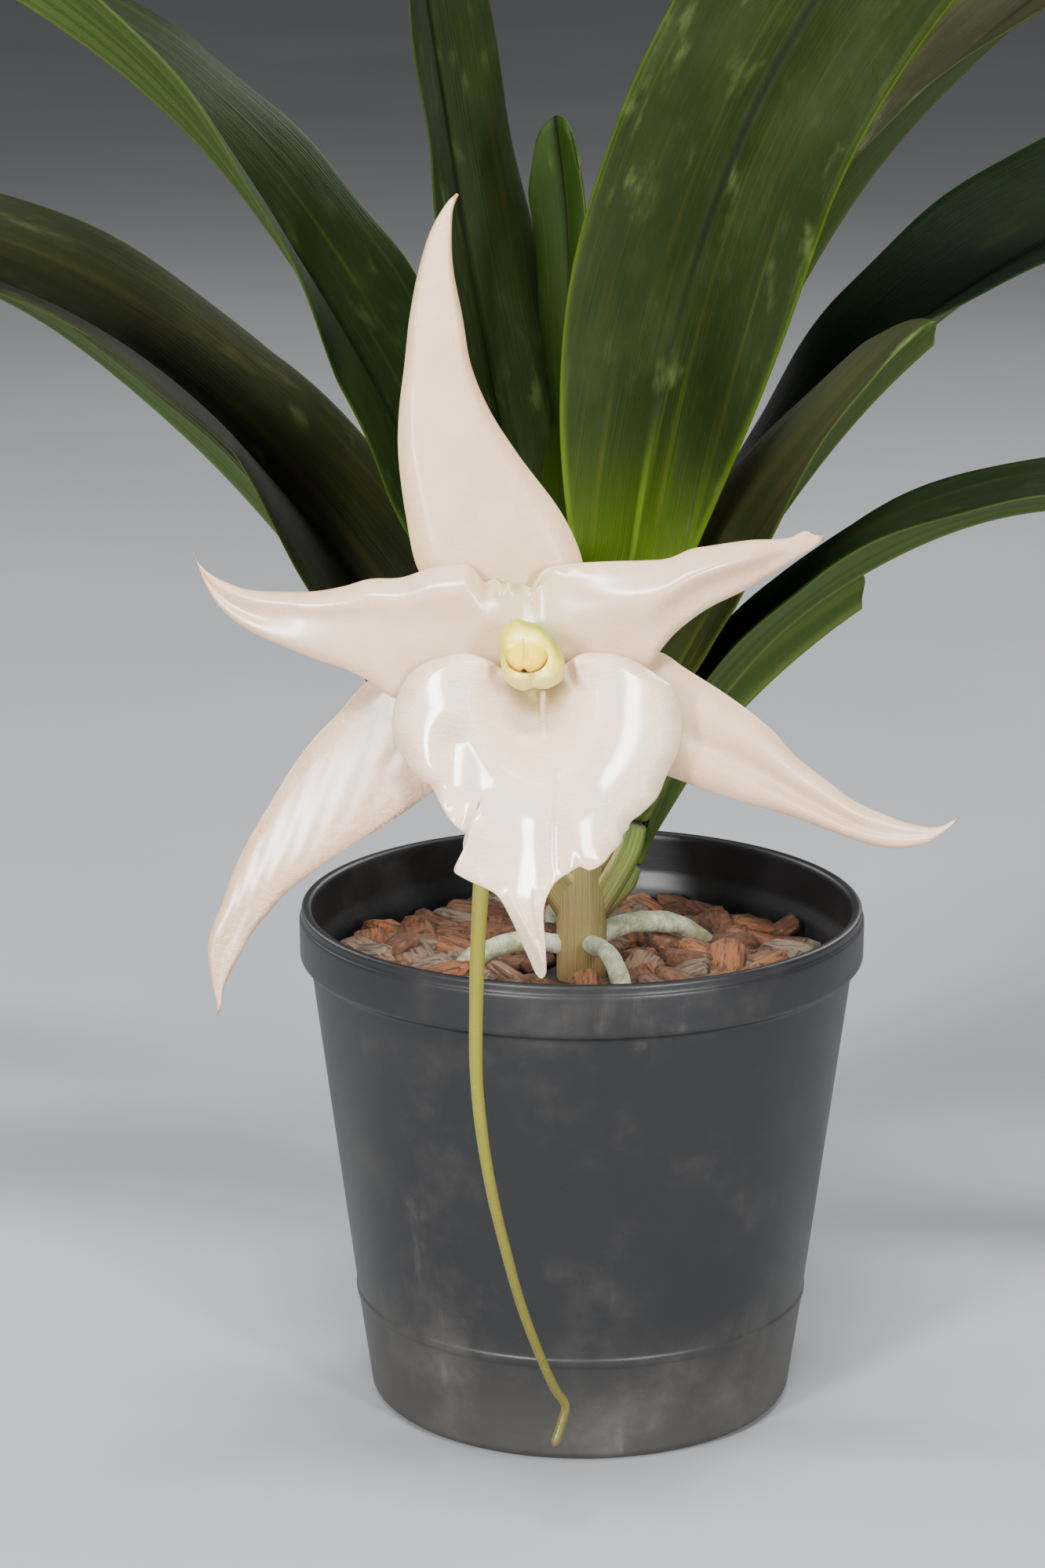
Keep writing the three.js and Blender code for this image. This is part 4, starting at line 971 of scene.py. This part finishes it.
def tepal(name):
    """The blade between two margins. A point lies at centre + v (upper - lower margin) / 2; its depth
    is the bend of the outs, less the fall times half width times v^2, less the roll of the margin
    times ((|v| - 0.7) / 0.3)^2, plus the relief. Half the thickness is set off it on either side."""
    rows = np.array(TEPALS[name])
    outs, fall, roll, relief = TEPAL_FORMS[name]
    middles = (rows[:, :2] + rows[:, 2:]) / 2
    u_rows = end_rows(TEPAL_ROWS, PETAL_FOOT, PETAL_TIP)
    at = np.interp(u_rows, np.linspace(0, 1, MIDDLE_STEPS), even_shares(middles, MIDDLE_STEPS))
    edges = smooth_line(rows, at)
    upper, lower = edges[:, None, :2], edges[:, None, 2:]
    u, v, side = skin_grid(u_rows, TEPAL_SPAN)
    flat = (upper + lower) / 2 + v[..., None] * (upper - lower) / 2
    w = np.linalg.norm(upper - lower, axis=-1) / 2 + 0 * u
    margin = np.clip((np.abs(v) - 0.7) / 0.3, 0, 1) ** 2 * np.minimum(1, w / 5)
    depth = bend(outs, u) - fall * w * v * v - roll * margin + relief(u, v, w) * np.minimum(1, w / 6)
    half = PETAL_THICKNESS / 2 * (1 - 0.4 * v * v) * np.sqrt(np.maximum(0, 1 - v**10))
    depth += side * half * closing(u, PETAL_FOOT, PETAL_TIP)
    grid = seen(flat[..., 0], flat[..., 1], depth)
    length = np.linalg.norm(np.diff(middles, axis=0), axis=1).sum()
    return grid, np.stack([u * length, v * w, 0 * u], -1), np.stack([u, v, (1 - side) / 2], -1)


WAX = {"Subsurface Weight": 0.22, "Subsurface Radius": (0.9, 0.62, 0.42), "Subsurface Scale": 0.0022}
CELL_SCALE = 3900.0
GRIT_SCALE = 2600.0
CELL_DEPTH = 0.00008


def petal_finish(name, warmth, shine, crumple, dull, rust):
    """White flower skin: cream with a blush, sparkling cells, faint veins along it, brown at the tip.
    warmth is how green its foot is, shine its waxy gleam and dull how far that spreads, crumple how
    deep its wrinkles are in metres, and rust how brown a patch of its lower margin has gone."""
    look = Finish(name)
    spot = look.place()
    grain = look.mark("grain")
    u, v, under = look.parts(look.mark("place"))
    cell = look.cells(spot, CELL_SCALE)
    grit = look.noise(spot, GRIT_SCALE, 3.0, 0.6)
    soft = look.noise(spot, 75.0, 4.0, 0.55)
    vein = look.noise(grain, (0.02, 0.55, 1), 3.0, 0.5)
    wrinkle = look.noise(grain, (0.70, 0.62, 1), 4.0, 0.62, 0.9)
    freckle = look.noise(spot, 900.0, 2.0).rise(0.70, 0.74) * u.rise(0.75, 0.95)
    gnawed = u.rise(0.30, 0.36) * u.rise(0.50, 0.42) * v.rise(-0.90, -0.99) * grit.rise(0.40, 0.55)
    white = look.coats(
        (197, 161, 129),
        (soft.rise(0.35, 0.7), (205, 171, 140)),
        (vein.rise(0.5, 0.75) * 0.14, (194, 157, 115)),
        (abs(v).rise(0.90, 1.0) * 0.22, (196, 164, 102)),
        (v.rise(0.80, 1.0) * u.rise(0.30, 0.15) * 0.55, (206, 188, 118)),
        (u.rise(0.22, 0.02) * warmth, (196, 180, 124)),
        ((u.rise(0.972, 0.997) * 0.75 + freckle * 0.5).rise(0, 1), (150, 112, 66)),
        (gnawed * rust, (128, 88, 42)),
        (under * 0.35, (196, 192, 152)))
    skin = look.bump(cell * 0.8 + grit * 0.6, CELL_DEPTH)
    relief = look.bump(wrinkle * 0.95 + vein * 0.1, crumple, skin)
    gleam = {"Coat Weight": shine, "Coat Roughness": dull, "Specular IOR Level": 0.55}
    return look.done(white, 0.30 + soft * 0.10 + cell * 0.12, relief, {**gleam, **WAX})


TEPAL_LOOKS = {
    "dorsal_sepal": (0.4, 0.25, 0.00010, 0.22, 0.0),
    "lateral_sepal_left": (0.35, 1.0, 0.00056, 0.26, 0.9),
    "lateral_sepal_right": (0.9, 0.5, 0.00012, 0.28, 0.0),
    "petal_left": (0.5, 1.0, 0.00012, 0.24, 0.0),
    "petal_right": (0.6, 1.0, 0.00012, 0.24, 0.0),
}
for name in TEPALS:
    grid, grain, place = tepal(name)
    tepal_white = petal_finish("waxy_" + name, *TEPAL_LOOKS[name])
    tepal_marks = {"grain": [grain], "place": [place]}
    make("white_" + name, [grid], tepal_white, [name], tepal_marks, caps=False)


# Lip. The broad lowest petal, a bowl about the throat with two swelling shoulders, a torn notch low on
# the left and a pointed apex folded into a channel. It is thick, waxy and glossier than the rest.
THROAT = (1.5, -7.8, -7.0)
LIP_OUTLINE = [
    (-4, -3.9), (-7.0, -1.9), (-11.5, -0.4), (-17, -1.2), (-21.5, -3.2), (-24.6, -7), (-26.1, -11.6),
    (-26.2, -16.6), (-23.6, -21.9), (-20.5, -25.6), (-18.8, -26.6), (-17.1, -29.7), (-15.3, -32.9),
    (-13.4, -34.9), (-11.8, -35.9), (-10.9, -34.4), (-10.7, -32.8), (-10.4, -31.4), (-9.9, -31.5),
    (-10.1, -32.7), (-11.4, -34.7), (-12.3, -37.4), (-12.5, -40.1), (-14.0, -42.5), (-14.1, -43.6),
    (-13.2, -44.3), (-10.7, -45.6), (-8.0, -46.8), (-5.6, -48.3), (-2.9, -52.9), (-0.9, -57.3),
    (0.8, -61.0), (2.1, -63.8), (3.1, -64.7), (4.0, -63.7), (4.1, -62.0), (3.9, -59.3), (3.6, -56),
    (3.7, -50.5), (4.5, -47.9), (6.1, -45.5), (8.5, -43.8), (10.7, -42.6), (11.6, -42.9), (12.6, -43.3),
    (15.2, -42.0), (17.1, -39.8), (18.9, -37.8), (19.4, -36.0), (20.3, -35.2), (20.7, -33.9),
    (22.9, -32.1), (26.0, -28.9), (27.9, -24.6), (30.2, -19.8), (30.9, -15.5), (30.4, -9.6),
    (28.7, -6.6), (24.8, -3.8), (20.2, -1.3), (15.5, -0.3), (10.8, -0.6), (7.6, -2.6), (2, -4.3)]
LIP_AROUND = 460
LIP_RINGS = 84
LIP_CALM = 9
BOWL_DEPTH = 8.6
BOWL_WIDTH = 15.0
BOWL_BELOW = 19.0
BOWL_ABOVE = 12.0
LIP_LEVEL = 5.6
THROAT_DEPTH = 1.6
ROLL_WIDTH = 3.6
ROLL_DEPTH = 2.0
CREASE_X = -14.2
CREASE_DEPTH = 1.8
KEEL_X = 4.4
KEEL_HEIGHT = 1.9


def ramp(t, bend_width):
    """0 below 0 and t above it, with a soft bend: (t + sqrt(t^2 + width)) / 2."""
    return 0.5 * (t + np.sqrt(t**2 + bend_width))


def calm_outline(outline):
    """The outline without its notch and teeth: each of its Fourier waves fades by exp(-(n / 9)^2)."""
    waves = np.fft.fft(outline[:, 0] + 1j * outline[:, 1])
    number = np.fft.fftfreq(len(outline), 1 / len(outline))
    calm = np.fft.ifft(waves * np.exp(-((number / LIP_CALM) ** 2)))
    return np.stack([calm.real, calm.imag], -1)


def lip_depth(x, up, share, reach):
    """A level less an oval bowl about the throat, leaning forward downwards and falling back at the apex.
    To both sides it falls along a line by a wide ramp, which reads as a long bevel, and its margin is
    rolled back by the square of how far a point lies into the roll's width. A crease, folds, the keel
    and the apex's channel are hills and soft steps of x and up on top of it."""
    a, b = x - THROAT[0], up - THROAT[1]
    distance = np.hypot(a, b) + 1e-6
    below = ramp(-b / distance, 0.03)
    oval = np.sqrt((a / BOWL_WIDTH) ** 2 + (ramp(-up - 9, 3) / BOWL_BELOW) ** 2
                   + (ramp(up + 9, 3) / BOWL_ABOVE) ** 2)
    bowl = LIP_LEVEL - BOWL_DEPTH * (1 - step(oval, 0, 1)) - THROAT_DEPTH * (1 - step(distance, 0, 5.5))
    lean = 0.10 * ramp(-up - 9, 6) - 0.08 * ramp(-up - 36, 6) - 0.58 * ramp(-up - 52, 8)
    left_line = -17.0 + 3.0 * step(-up, 4, 24)
    right_line = 19.6 - 6.6 * step(-up, 10, 36)
    bevels = (0.48 * ramp(left_line - x, 49) * step(up, -34, -26)
              + 0.45 * ramp(x - right_line, 64) * step(up, -48, -38))
    inside = (1 - share) * reach
    roll = ROLL_DEPTH * np.maximum(0, 1 - inside / ROLL_WIDTH) ** 2 * (1 - below**6)
    crease = (CREASE_DEPTH * hill(x, CREASE_X, np.where(x < CREASE_X, 3.2, 6.2)) * step(-up, 11, 19)
              * step(up, -38, -31))
    keel_x = KEEL_X - 1.2 * step(-up, 42, 58)
    keel = KEEL_HEIGHT * hill(x, keel_x, np.where(x < keel_x, 5.2, 16.0)) * step(-up, 18, 36)
    line = 0.30 * hill(x, 5.0, 0.8) * step(-up, 16, 24) * step(up, -46, -42)
    rib = 0.9 * hill(x, 3.1 + 0.08 * (-9.3 - up), 0.6) * step(-up, 7, 8.5) * step(up, -18, -15)
    fold_x = 9.6 + 0.31 * (-0.7 - up)
    inner_fold = (1.1 * hill(x, fold_x, 0.9) - 1.1 * hill(x, fold_x - 2.0, 1.1)) * step(up, -8.5, -4.5)
    left_dip = 1.1 * hill(x, -5.6, 1.2) * step(up, -7, -3.5)
    from_left = x + 4.9 - 0.52 * (-50 - up)
    strip = 1.1 * (np.clip(from_left / 2.6, 0, 1) - step(from_left, 2.7, 3.7))
    lobe = 1.0 * step(x - 1.0 - 1.1 * step(-up, 49, 60), 0, 0.9)
    channel = (strip + lobe) * step(-up, 46.5, 50.5) * step(up, -64.6, -61)
    before = (x + 11.2) * 0.93 - (up + 33.6) * 0.37
    overlap = 0.8 * np.tanh(before / 0.6) * hill(x, -11.5, 3.0) * hill(up, -34.0, 3.2)
    angle = np.arctan2(b, a)
    ruffles = (0.28 * np.sin(17 * angle + 1) + 0.20 * np.sin(41 * angle)) * step(share, 0.88, 1)
    return (bowl + lean - bevels - roll - crease + keel + line + rib + inner_fold - left_dip + channel
            + overlap + ruffles)


def lip_grid():
    """Rings that grow from the throat to the outline over the front, and shrink back behind it. The
    inner rings follow the calm outline, and the outer ones take on the notch and the teeth."""
    outline = smooth_line(LIP_OUTLINE, even_shares(LIP_OUTLINE, LIP_AROUND, True), True)
    calm = calm_outline(outline)
    reach = np.hypot(calm[:, 0] - THROAT[0], calm[:, 1] - THROAT[1])
    share = 1 - (1 - np.linspace(0, 1, LIP_RINGS)) ** 1.3
    rings = np.concatenate([share, share[-2::-1]])[:, None]
    side = np.concatenate([np.ones(LIP_RINGS), -np.ones(LIP_RINGS - 1)])[:, None]
    detail = step(rings, 0.62, 1)
    x = THROAT[0] + rings * (calm[:, 0] + detail * (outline[:, 0] - calm[:, 0]) - THROAT[0])
    up = THROAT[1] + rings * (calm[:, 1] + detail * (outline[:, 1] - calm[:, 1]) - THROAT[1])
    half = PETAL_THICKNESS / 2 * (1.05 - 0.4 * rings) * np.sqrt(np.maximum(0, 1 - rings**14))
    depth = lip_depth(x, up, rings, reach)
    place = np.stack([rings + 0 * x, 0 * x, (1 - side) / 2 + 0 * x], -1)
    return seen(x, up, depth + side * half), np.stack([x, up, depth], -1), place


def oval_share(x, up, middle, reach):
    """How far out in an oval a point lies, 1 on its line: (x / reach)^2 + (up / reach)^2 from its
    middle."""
    a = (x - middle[0]) * (1 / reach[0])
    b = (up - middle[1]) * (1 / reach[1])
    return a * a + b * b


look = Finish("waxy_lip")
spot = look.place()
flat = look.mark("flat")
x_flow, up_flow, _ = look.parts(flat)
share, _, under = look.parts(look.mark("place"))
cell = look.cells(spot, CELL_SCALE)
grit = look.noise(spot, GRIT_SCALE, 3.0, 0.6)
soft = look.noise(spot, 75.0, 4.0, 0.55)
crimp = look.noise(flat, (0.5, 1.5, 0.3), 3.0, 0.6, 0.6)
# Painted shadow: the column's shade on the lip's throat, an olive darkening within an oval under it.
painted_throat_shadow = oval_share(x_flow, up_flow, (2.5, -7.6), (7.5, 6.5)).rise(1.0, 0.05)
rib_line = abs(x_flow - 3.4).rise(0.75, 0.25) * up_flow.rise(-18.0, -15.5) * up_flow.rise(-7.4, -8.4)
lip_colour = look.coats(
    (224, 191, 161),
    (soft.rise(0.35, 0.7), (230, 200, 172)),
    (painted_throat_shadow * 0.9, (140, 122, 54)),
    (rib_line * 0.7, (226, 206, 176)),
    (share.rise(0.93, 1.0) * 0.2, (204, 170, 128)),
    (under * 0.3, (198, 190, 150)))
lip_bump = look.bump(crimp, 0.00024, look.bump(cell * 0.7 + grit * 0.6, CELL_DEPTH))
gloss = oval_share(x_flow, up_flow, (THROAT[0], -9), (14, 20)).rise(0.75, 1.2)
gleam = {"Coat Weight": 0.1 + gloss * 0.9, "Coat Roughness": 0.13, "Specular IOR Level": 0.6}
lip_white = look.done(lip_colour, 0.52 - gloss * 0.24 + cell * 0.08, lip_bump, {**gleam, **WAX})
grid, flat_marks, place = lip_grid()
lip_marks = {"flat": [flat_marks], "place": [place]}
make("white_lip", [grid], lip_white, ["lip"], lip_marks, caps=False)


# Spur. The lip's long hollow tail, which holds the nectar: it leaves the back of the throat, turns down
# behind the lip and hangs to a small hook, cream green at its mouth, and darkened to olive lower down by
# painted shade.
SPUR_LINE = [
    (-11.5, -124.6, 198.2), (-12, -119, 194.5), (-14.5, -114.5, 187.5), (-18, -111.5, 178),
    (-21, -110, 165), (-22.6, -108.5, 145), (-23.2, -107.5, 127.5), (-23.2, -106, 111.5),
    (-22, -104.5, 97.5), (-19.9, -103, 84), (-16.9, -101, 70), (-14.1, -99, 58.5), (-10.8, -97, 48),
    (-6.9, -95, 37.6), (-4.4, -93.8, 32.6), (-5.3, -94.5, 28.7), (-6.9, -96, 24.2)]
SPUR_MOUTH = 2.2
SPUR_END = 1.0
SPUR_STEPS = 320
SPUR_SIDES = 32

look = Finish("green_spur")
spot = look.place()
share = look.parts(look.mark("run"))[0]
blotch = look.noise(spot, (300, 300, 105), 4.0, 0.6)
dots = look.noise(spot, 1500.0, 3.0, 0.6)
spur_colour = look.coats(
    (162, 154, 64),
    (share.rise(0.0, 0.35), (124, 118, 20)),
    # Painted shade: the spur darkens to olive along its lower half, where the light falls off.
    (share.rise(0.45, 0.97), (80, 76, 9)),
    (blotch.rise(0.45, 0.7) * 0.4, (108, 102, 18)),
    (dots.rise(0.6, 0.78) * 0.35, (178, 170, 84)),
    (share.rise(0.975, 1.0) * 0.6, (92, 78, 40)))
spur_bump = look.bump(dots * 0.5 + blotch * 0.6, 0.00022)
spur_skin = look.done(spur_colour, 0.42, spur_bump, {"Coat Weight": 0.15})


def spur_radius(u, a):
    """Narrowing from the mouth: end + (mouth - end) (1 - u)^1.6, rounded at the very tip, with a
    shallow furrow along each side."""
    taper = SPUR_END + (SPUR_MOUTH - SPUR_END) * (1 - u) ** 1.6
    tip = np.sqrt(np.clip((1 - u) / 0.006, 0.02, 1))
    return taper * tip * (1 - 0.03 * np.cos(2 * a) + 0.012 * np.sin(70 * u))


rings, run = tube(SPUR_LINE, spur_radius, SPUR_STEPS, SPUR_SIDES, (1, 0, 0))
make("hanging_spur", [rings], spur_skin, ["spur"], {"run": [run]})


# Column. The short fleshy post that holds the flower's organs: a cream hood, green behind and along its
# back edge, with a hollow for the anther cap and two rounded lobes with a cleft between them below it.
HOOD = [
    (-2.1, 6.5), (0.4, 5.9), (2.9, 5.3), (5.0, 3.5), (6.4, 1.4), (7.4, -0.7), (7.7, -3.4), (7.1, -5.7),
    (4.6, -7.3), (2.8, -7.4), (1.6, -7.2), (0.6, -7.5), (-0.6, -7.8), (-2.6, -7.0), (-4.4, -5.2),
    (-5.0, -1.8), (-5.4, 2.6), (-4.3, 5.0)]
HOOD_EDGE = 6.2
HOOD_FRONT = 10.3
COLUMN_MIDDLE = np.array([0.9, -0.6])
COLUMN_RADIUS = 3.5
COLUMN_AROUND = 180
WALL_ROWS = 36
OVER_ROWS = 78
CAP_MIDDLE = (0.2, -0.95)
CAP_WIDE = 4.15
CAP_TALL = 3.3


def hood_front(x, up, share):
    """The column's end: rounded at its edge as sqrt(1 - share^4), lower at the top, with a hollow for
    the cap inside an oval, deepest below, and two lobes under it with a cleft between them."""
    dome = HOOD_EDGE + (HOOD_FRONT - HOOD_EDGE) * np.sqrt(np.maximum(0, 1 - share**4))
    oval = np.hypot((x - CAP_MIDDLE[0]) / CAP_WIDE, (up - CAP_MIDDLE[1]) / CAP_TALL)
    hollow = 1.8 * step(-up, -0.6, 1.8) * (1 - step(oval, 0.90, 1.04))
    lobes = 1.4 * hill(x, -2.0, 2.1) * hill(up, -5.3, 1.5) + 1.4 * hill(x, 4.4, 2.2) * hill(up, -5.2, 1.6)
    cleft = 0.8 * hill(x, 1.25 + 0.1 * (up + 5), 0.42) * step(-up, 3.8, 5.0)
    return dome - hollow + lobes - cleft - 1.2 * step(up, 0.5, 6.5)


def column_grid():
    """Rings from the round foot out to the hood's outline, and then in over the front to its middle."""
    hood = smooth_line(HOOD, even_shares(HOOD, COLUMN_AROUND, True), True)
    bearing = np.arctan2(hood[:, 1] - COLUMN_MIDDLE[1], hood[:, 0] - COLUMN_MIDDLE[0])
    foot = np.stack([COLUMN_FOOT[0] + COLUMN_RADIUS * np.cos(bearing),
                     COLUMN_FOOT[1] + COLUMN_RADIUS * np.sin(bearing)], -1)
    rings = []
    for out, swell in ((-8.3, 0), (-2.4, 0), (0.4, 0.74), (2.8, 0.91), (4.8, 0.985), (HOOD_EDGE, 1)):
        ring = COLUMN_MIDDLE + (hood - COLUMN_MIDDLE) * swell if swell else foot
        rings.append(np.append(ring.ravel(), out))
    wall = smooth_line(rings, np.linspace(0, 1, WALL_ROWS))
    flat = wall[:, :-1].reshape(WALL_ROWS, COLUMN_AROUND, 2)
    inward = (1 - np.linspace(0, 1, OVER_ROWS)[1:, None, None] ** 1.3) * 0.985 + 0.015
    over = COLUMN_MIDDLE + (hood - COLUMN_MIDDLE) * inward
    x = np.concatenate([flat[..., 0], over[..., 0]])
    up = np.concatenate([flat[..., 1], over[..., 1]])
    tops = hood_front(over[..., 0], over[..., 1], inward[..., 0])
    edge = hood_front(hood[:, 0], hood[:, 1], np.ones(COLUMN_AROUND)) - HOOD_EDGE
    sides = wall[:, -1:] + edge * step(wall[:, -1:], 3, HOOD_EDGE)
    out = np.concatenate([sides, tops])
    share = np.concatenate([np.ones((WALL_ROWS, COLUMN_AROUND)), inward[..., 0] + 0 * tops])
    return seen(x, up, out), np.stack([x, up, out], -1), np.stack([share, 0 * x, 0 * x], -1)


look = Finish("cream_column")
spot = look.place()
share = look.parts(look.mark("place"))[0]
x_flow, up_flow, out_flow = look.parts(look.mark("flat"))
soft = look.noise(spot, 240.0, 3.0)
grit = look.noise(spot, 1800.0, 3.0, 0.6)
rim = share.rise(0.62, 0.94) * up_flow.rise(-3.5, 1.5) * (0.55 + x_flow.rise(-4.0, 4.0) * 0.45)
slit = abs(x_flow + 0.5).rise(0.45, 0.1) * up_flow.rise(0.8, 1.8) * up_flow.rise(3.4, 2.4)
column_colour = look.coats(
    (224, 206, 40),
    (soft.rise(0.3, 0.7), (228, 212, 66)),
    (up_flow.rise(-2.0, -5.5) * 0.8, (224, 208, 118)),
    (rim, (132, 144, 16)),
    (out_flow.rise(6.0, 2.0) * 0.8, (128, 132, 48)),
    (slit * 0.8, (150, 160, 22)))
column_skin = look.done(column_colour, 0.36, look.bump(grit * 0.5 + soft * 0.4, 0.00010), {
    "Subsurface Weight": 0.3, "Subsurface Radius": (0.9, 0.8, 0.35), "Subsurface Scale": 0.002,
    "Coat Weight": 0.3, "Coat Roughness": 0.25})
grid, flat_marks, place = column_grid()
make("cream_column", [grid], column_skin, ["column"], {"place": [place], "flat": [flat_marks]})


# Anther cap. A small yellow lid with two swollen halves that sits in the column's hollow, with an
# orange brown line where its lower rim lets the pollen masses out.
CAP_BASE = 9.5
CAP_DOME = 2.3
CAP_LEAN = 0.24
CAP_ROWS = 48
CAP_SIDES = 96


def cap_grid():
    """An oval dome: out = base + dome cos t, flatter above, where it passes into the hood, less a
    furrow down its middle, leaning forward below, with its rim notched upwards under the furrow."""
    rows = np.linspace(0, np.pi, CAP_ROWS)
    t, angle = np.meshgrid(rows, np.linspace(0, 2 * np.pi, CAP_SIDES, endpoint=False), indexing="ij")
    x, up, out = np.sin(t) * np.cos(angle), np.sin(t) * np.sin(angle), np.cos(t)
    furrow = 1 - 0.24 * hill(x, -0.06, 0.12) * step(up, -0.75, -0.1) * step(-up, -0.95, -0.5)
    notch = 1 - 0.20 * hill(x, -0.12, 0.14) * step(-up, 0.4, 0.95)
    swell = np.where(out > 0, np.abs(out) ** 0.8, 0.5 * out)
    flat_x = CAP_MIDDLE[0] + CAP_WIDE * x
    flat_up = CAP_MIDDLE[1] + CAP_TALL * up * notch
    dome = CAP_DOME * (1 - 0.26 * step(up, -0.2, 1.0))
    depth = CAP_BASE + dome * swell * furrow - CAP_LEAN * CAP_TALL * up
    return seen(flat_x, flat_up, depth), np.stack([flat_x, flat_up, np.sin(t)], -1)


look = Finish("yellow_cap")
x_flow, up_flow, rim_flow = look.parts(look.mark("flat"))
soft = look.noise(look.place(), 500.0, 3.0)
low_rim = (rim_flow + soft * 0.06).rise(0.93, 0.99) * up_flow.rise(-0.9, -2.2)
cap_colour = look.coats(
    (222, 186, 1),
    (soft.rise(0.35, 0.65), (226, 196, 6)),
    ((up_flow + soft * 0.8).rise(0.6, -3.0) * 0.5, (224, 172, 2)),
    (low_rim, (156, 78, 14)),
    (up_flow.rise(0.0, 1.8) * 0.85, (226, 210, 60)),
    (abs(x_flow + 0.3).rise(0.45, 0.05) * up_flow.rise(-2.4, 0.6) * 0.7, (168, 166, 20)))
cap_skin = look.done(cap_colour, 0.42, look.bump(soft, 0.00015), {
    "Subsurface Weight": 0.15, "Subsurface Radius": (0.9, 0.8, 0.2), "Subsurface Scale": 0.001,
    "Coat Weight": 0.08, "Coat Roughness": 0.3, "Specular IOR Level": 0.25})
grid, flat_marks = cap_grid()
make("yellow_anther_cap", [grid], cap_skin, ["anther_cap"], {"flat": [flat_marks]}, caps=False)
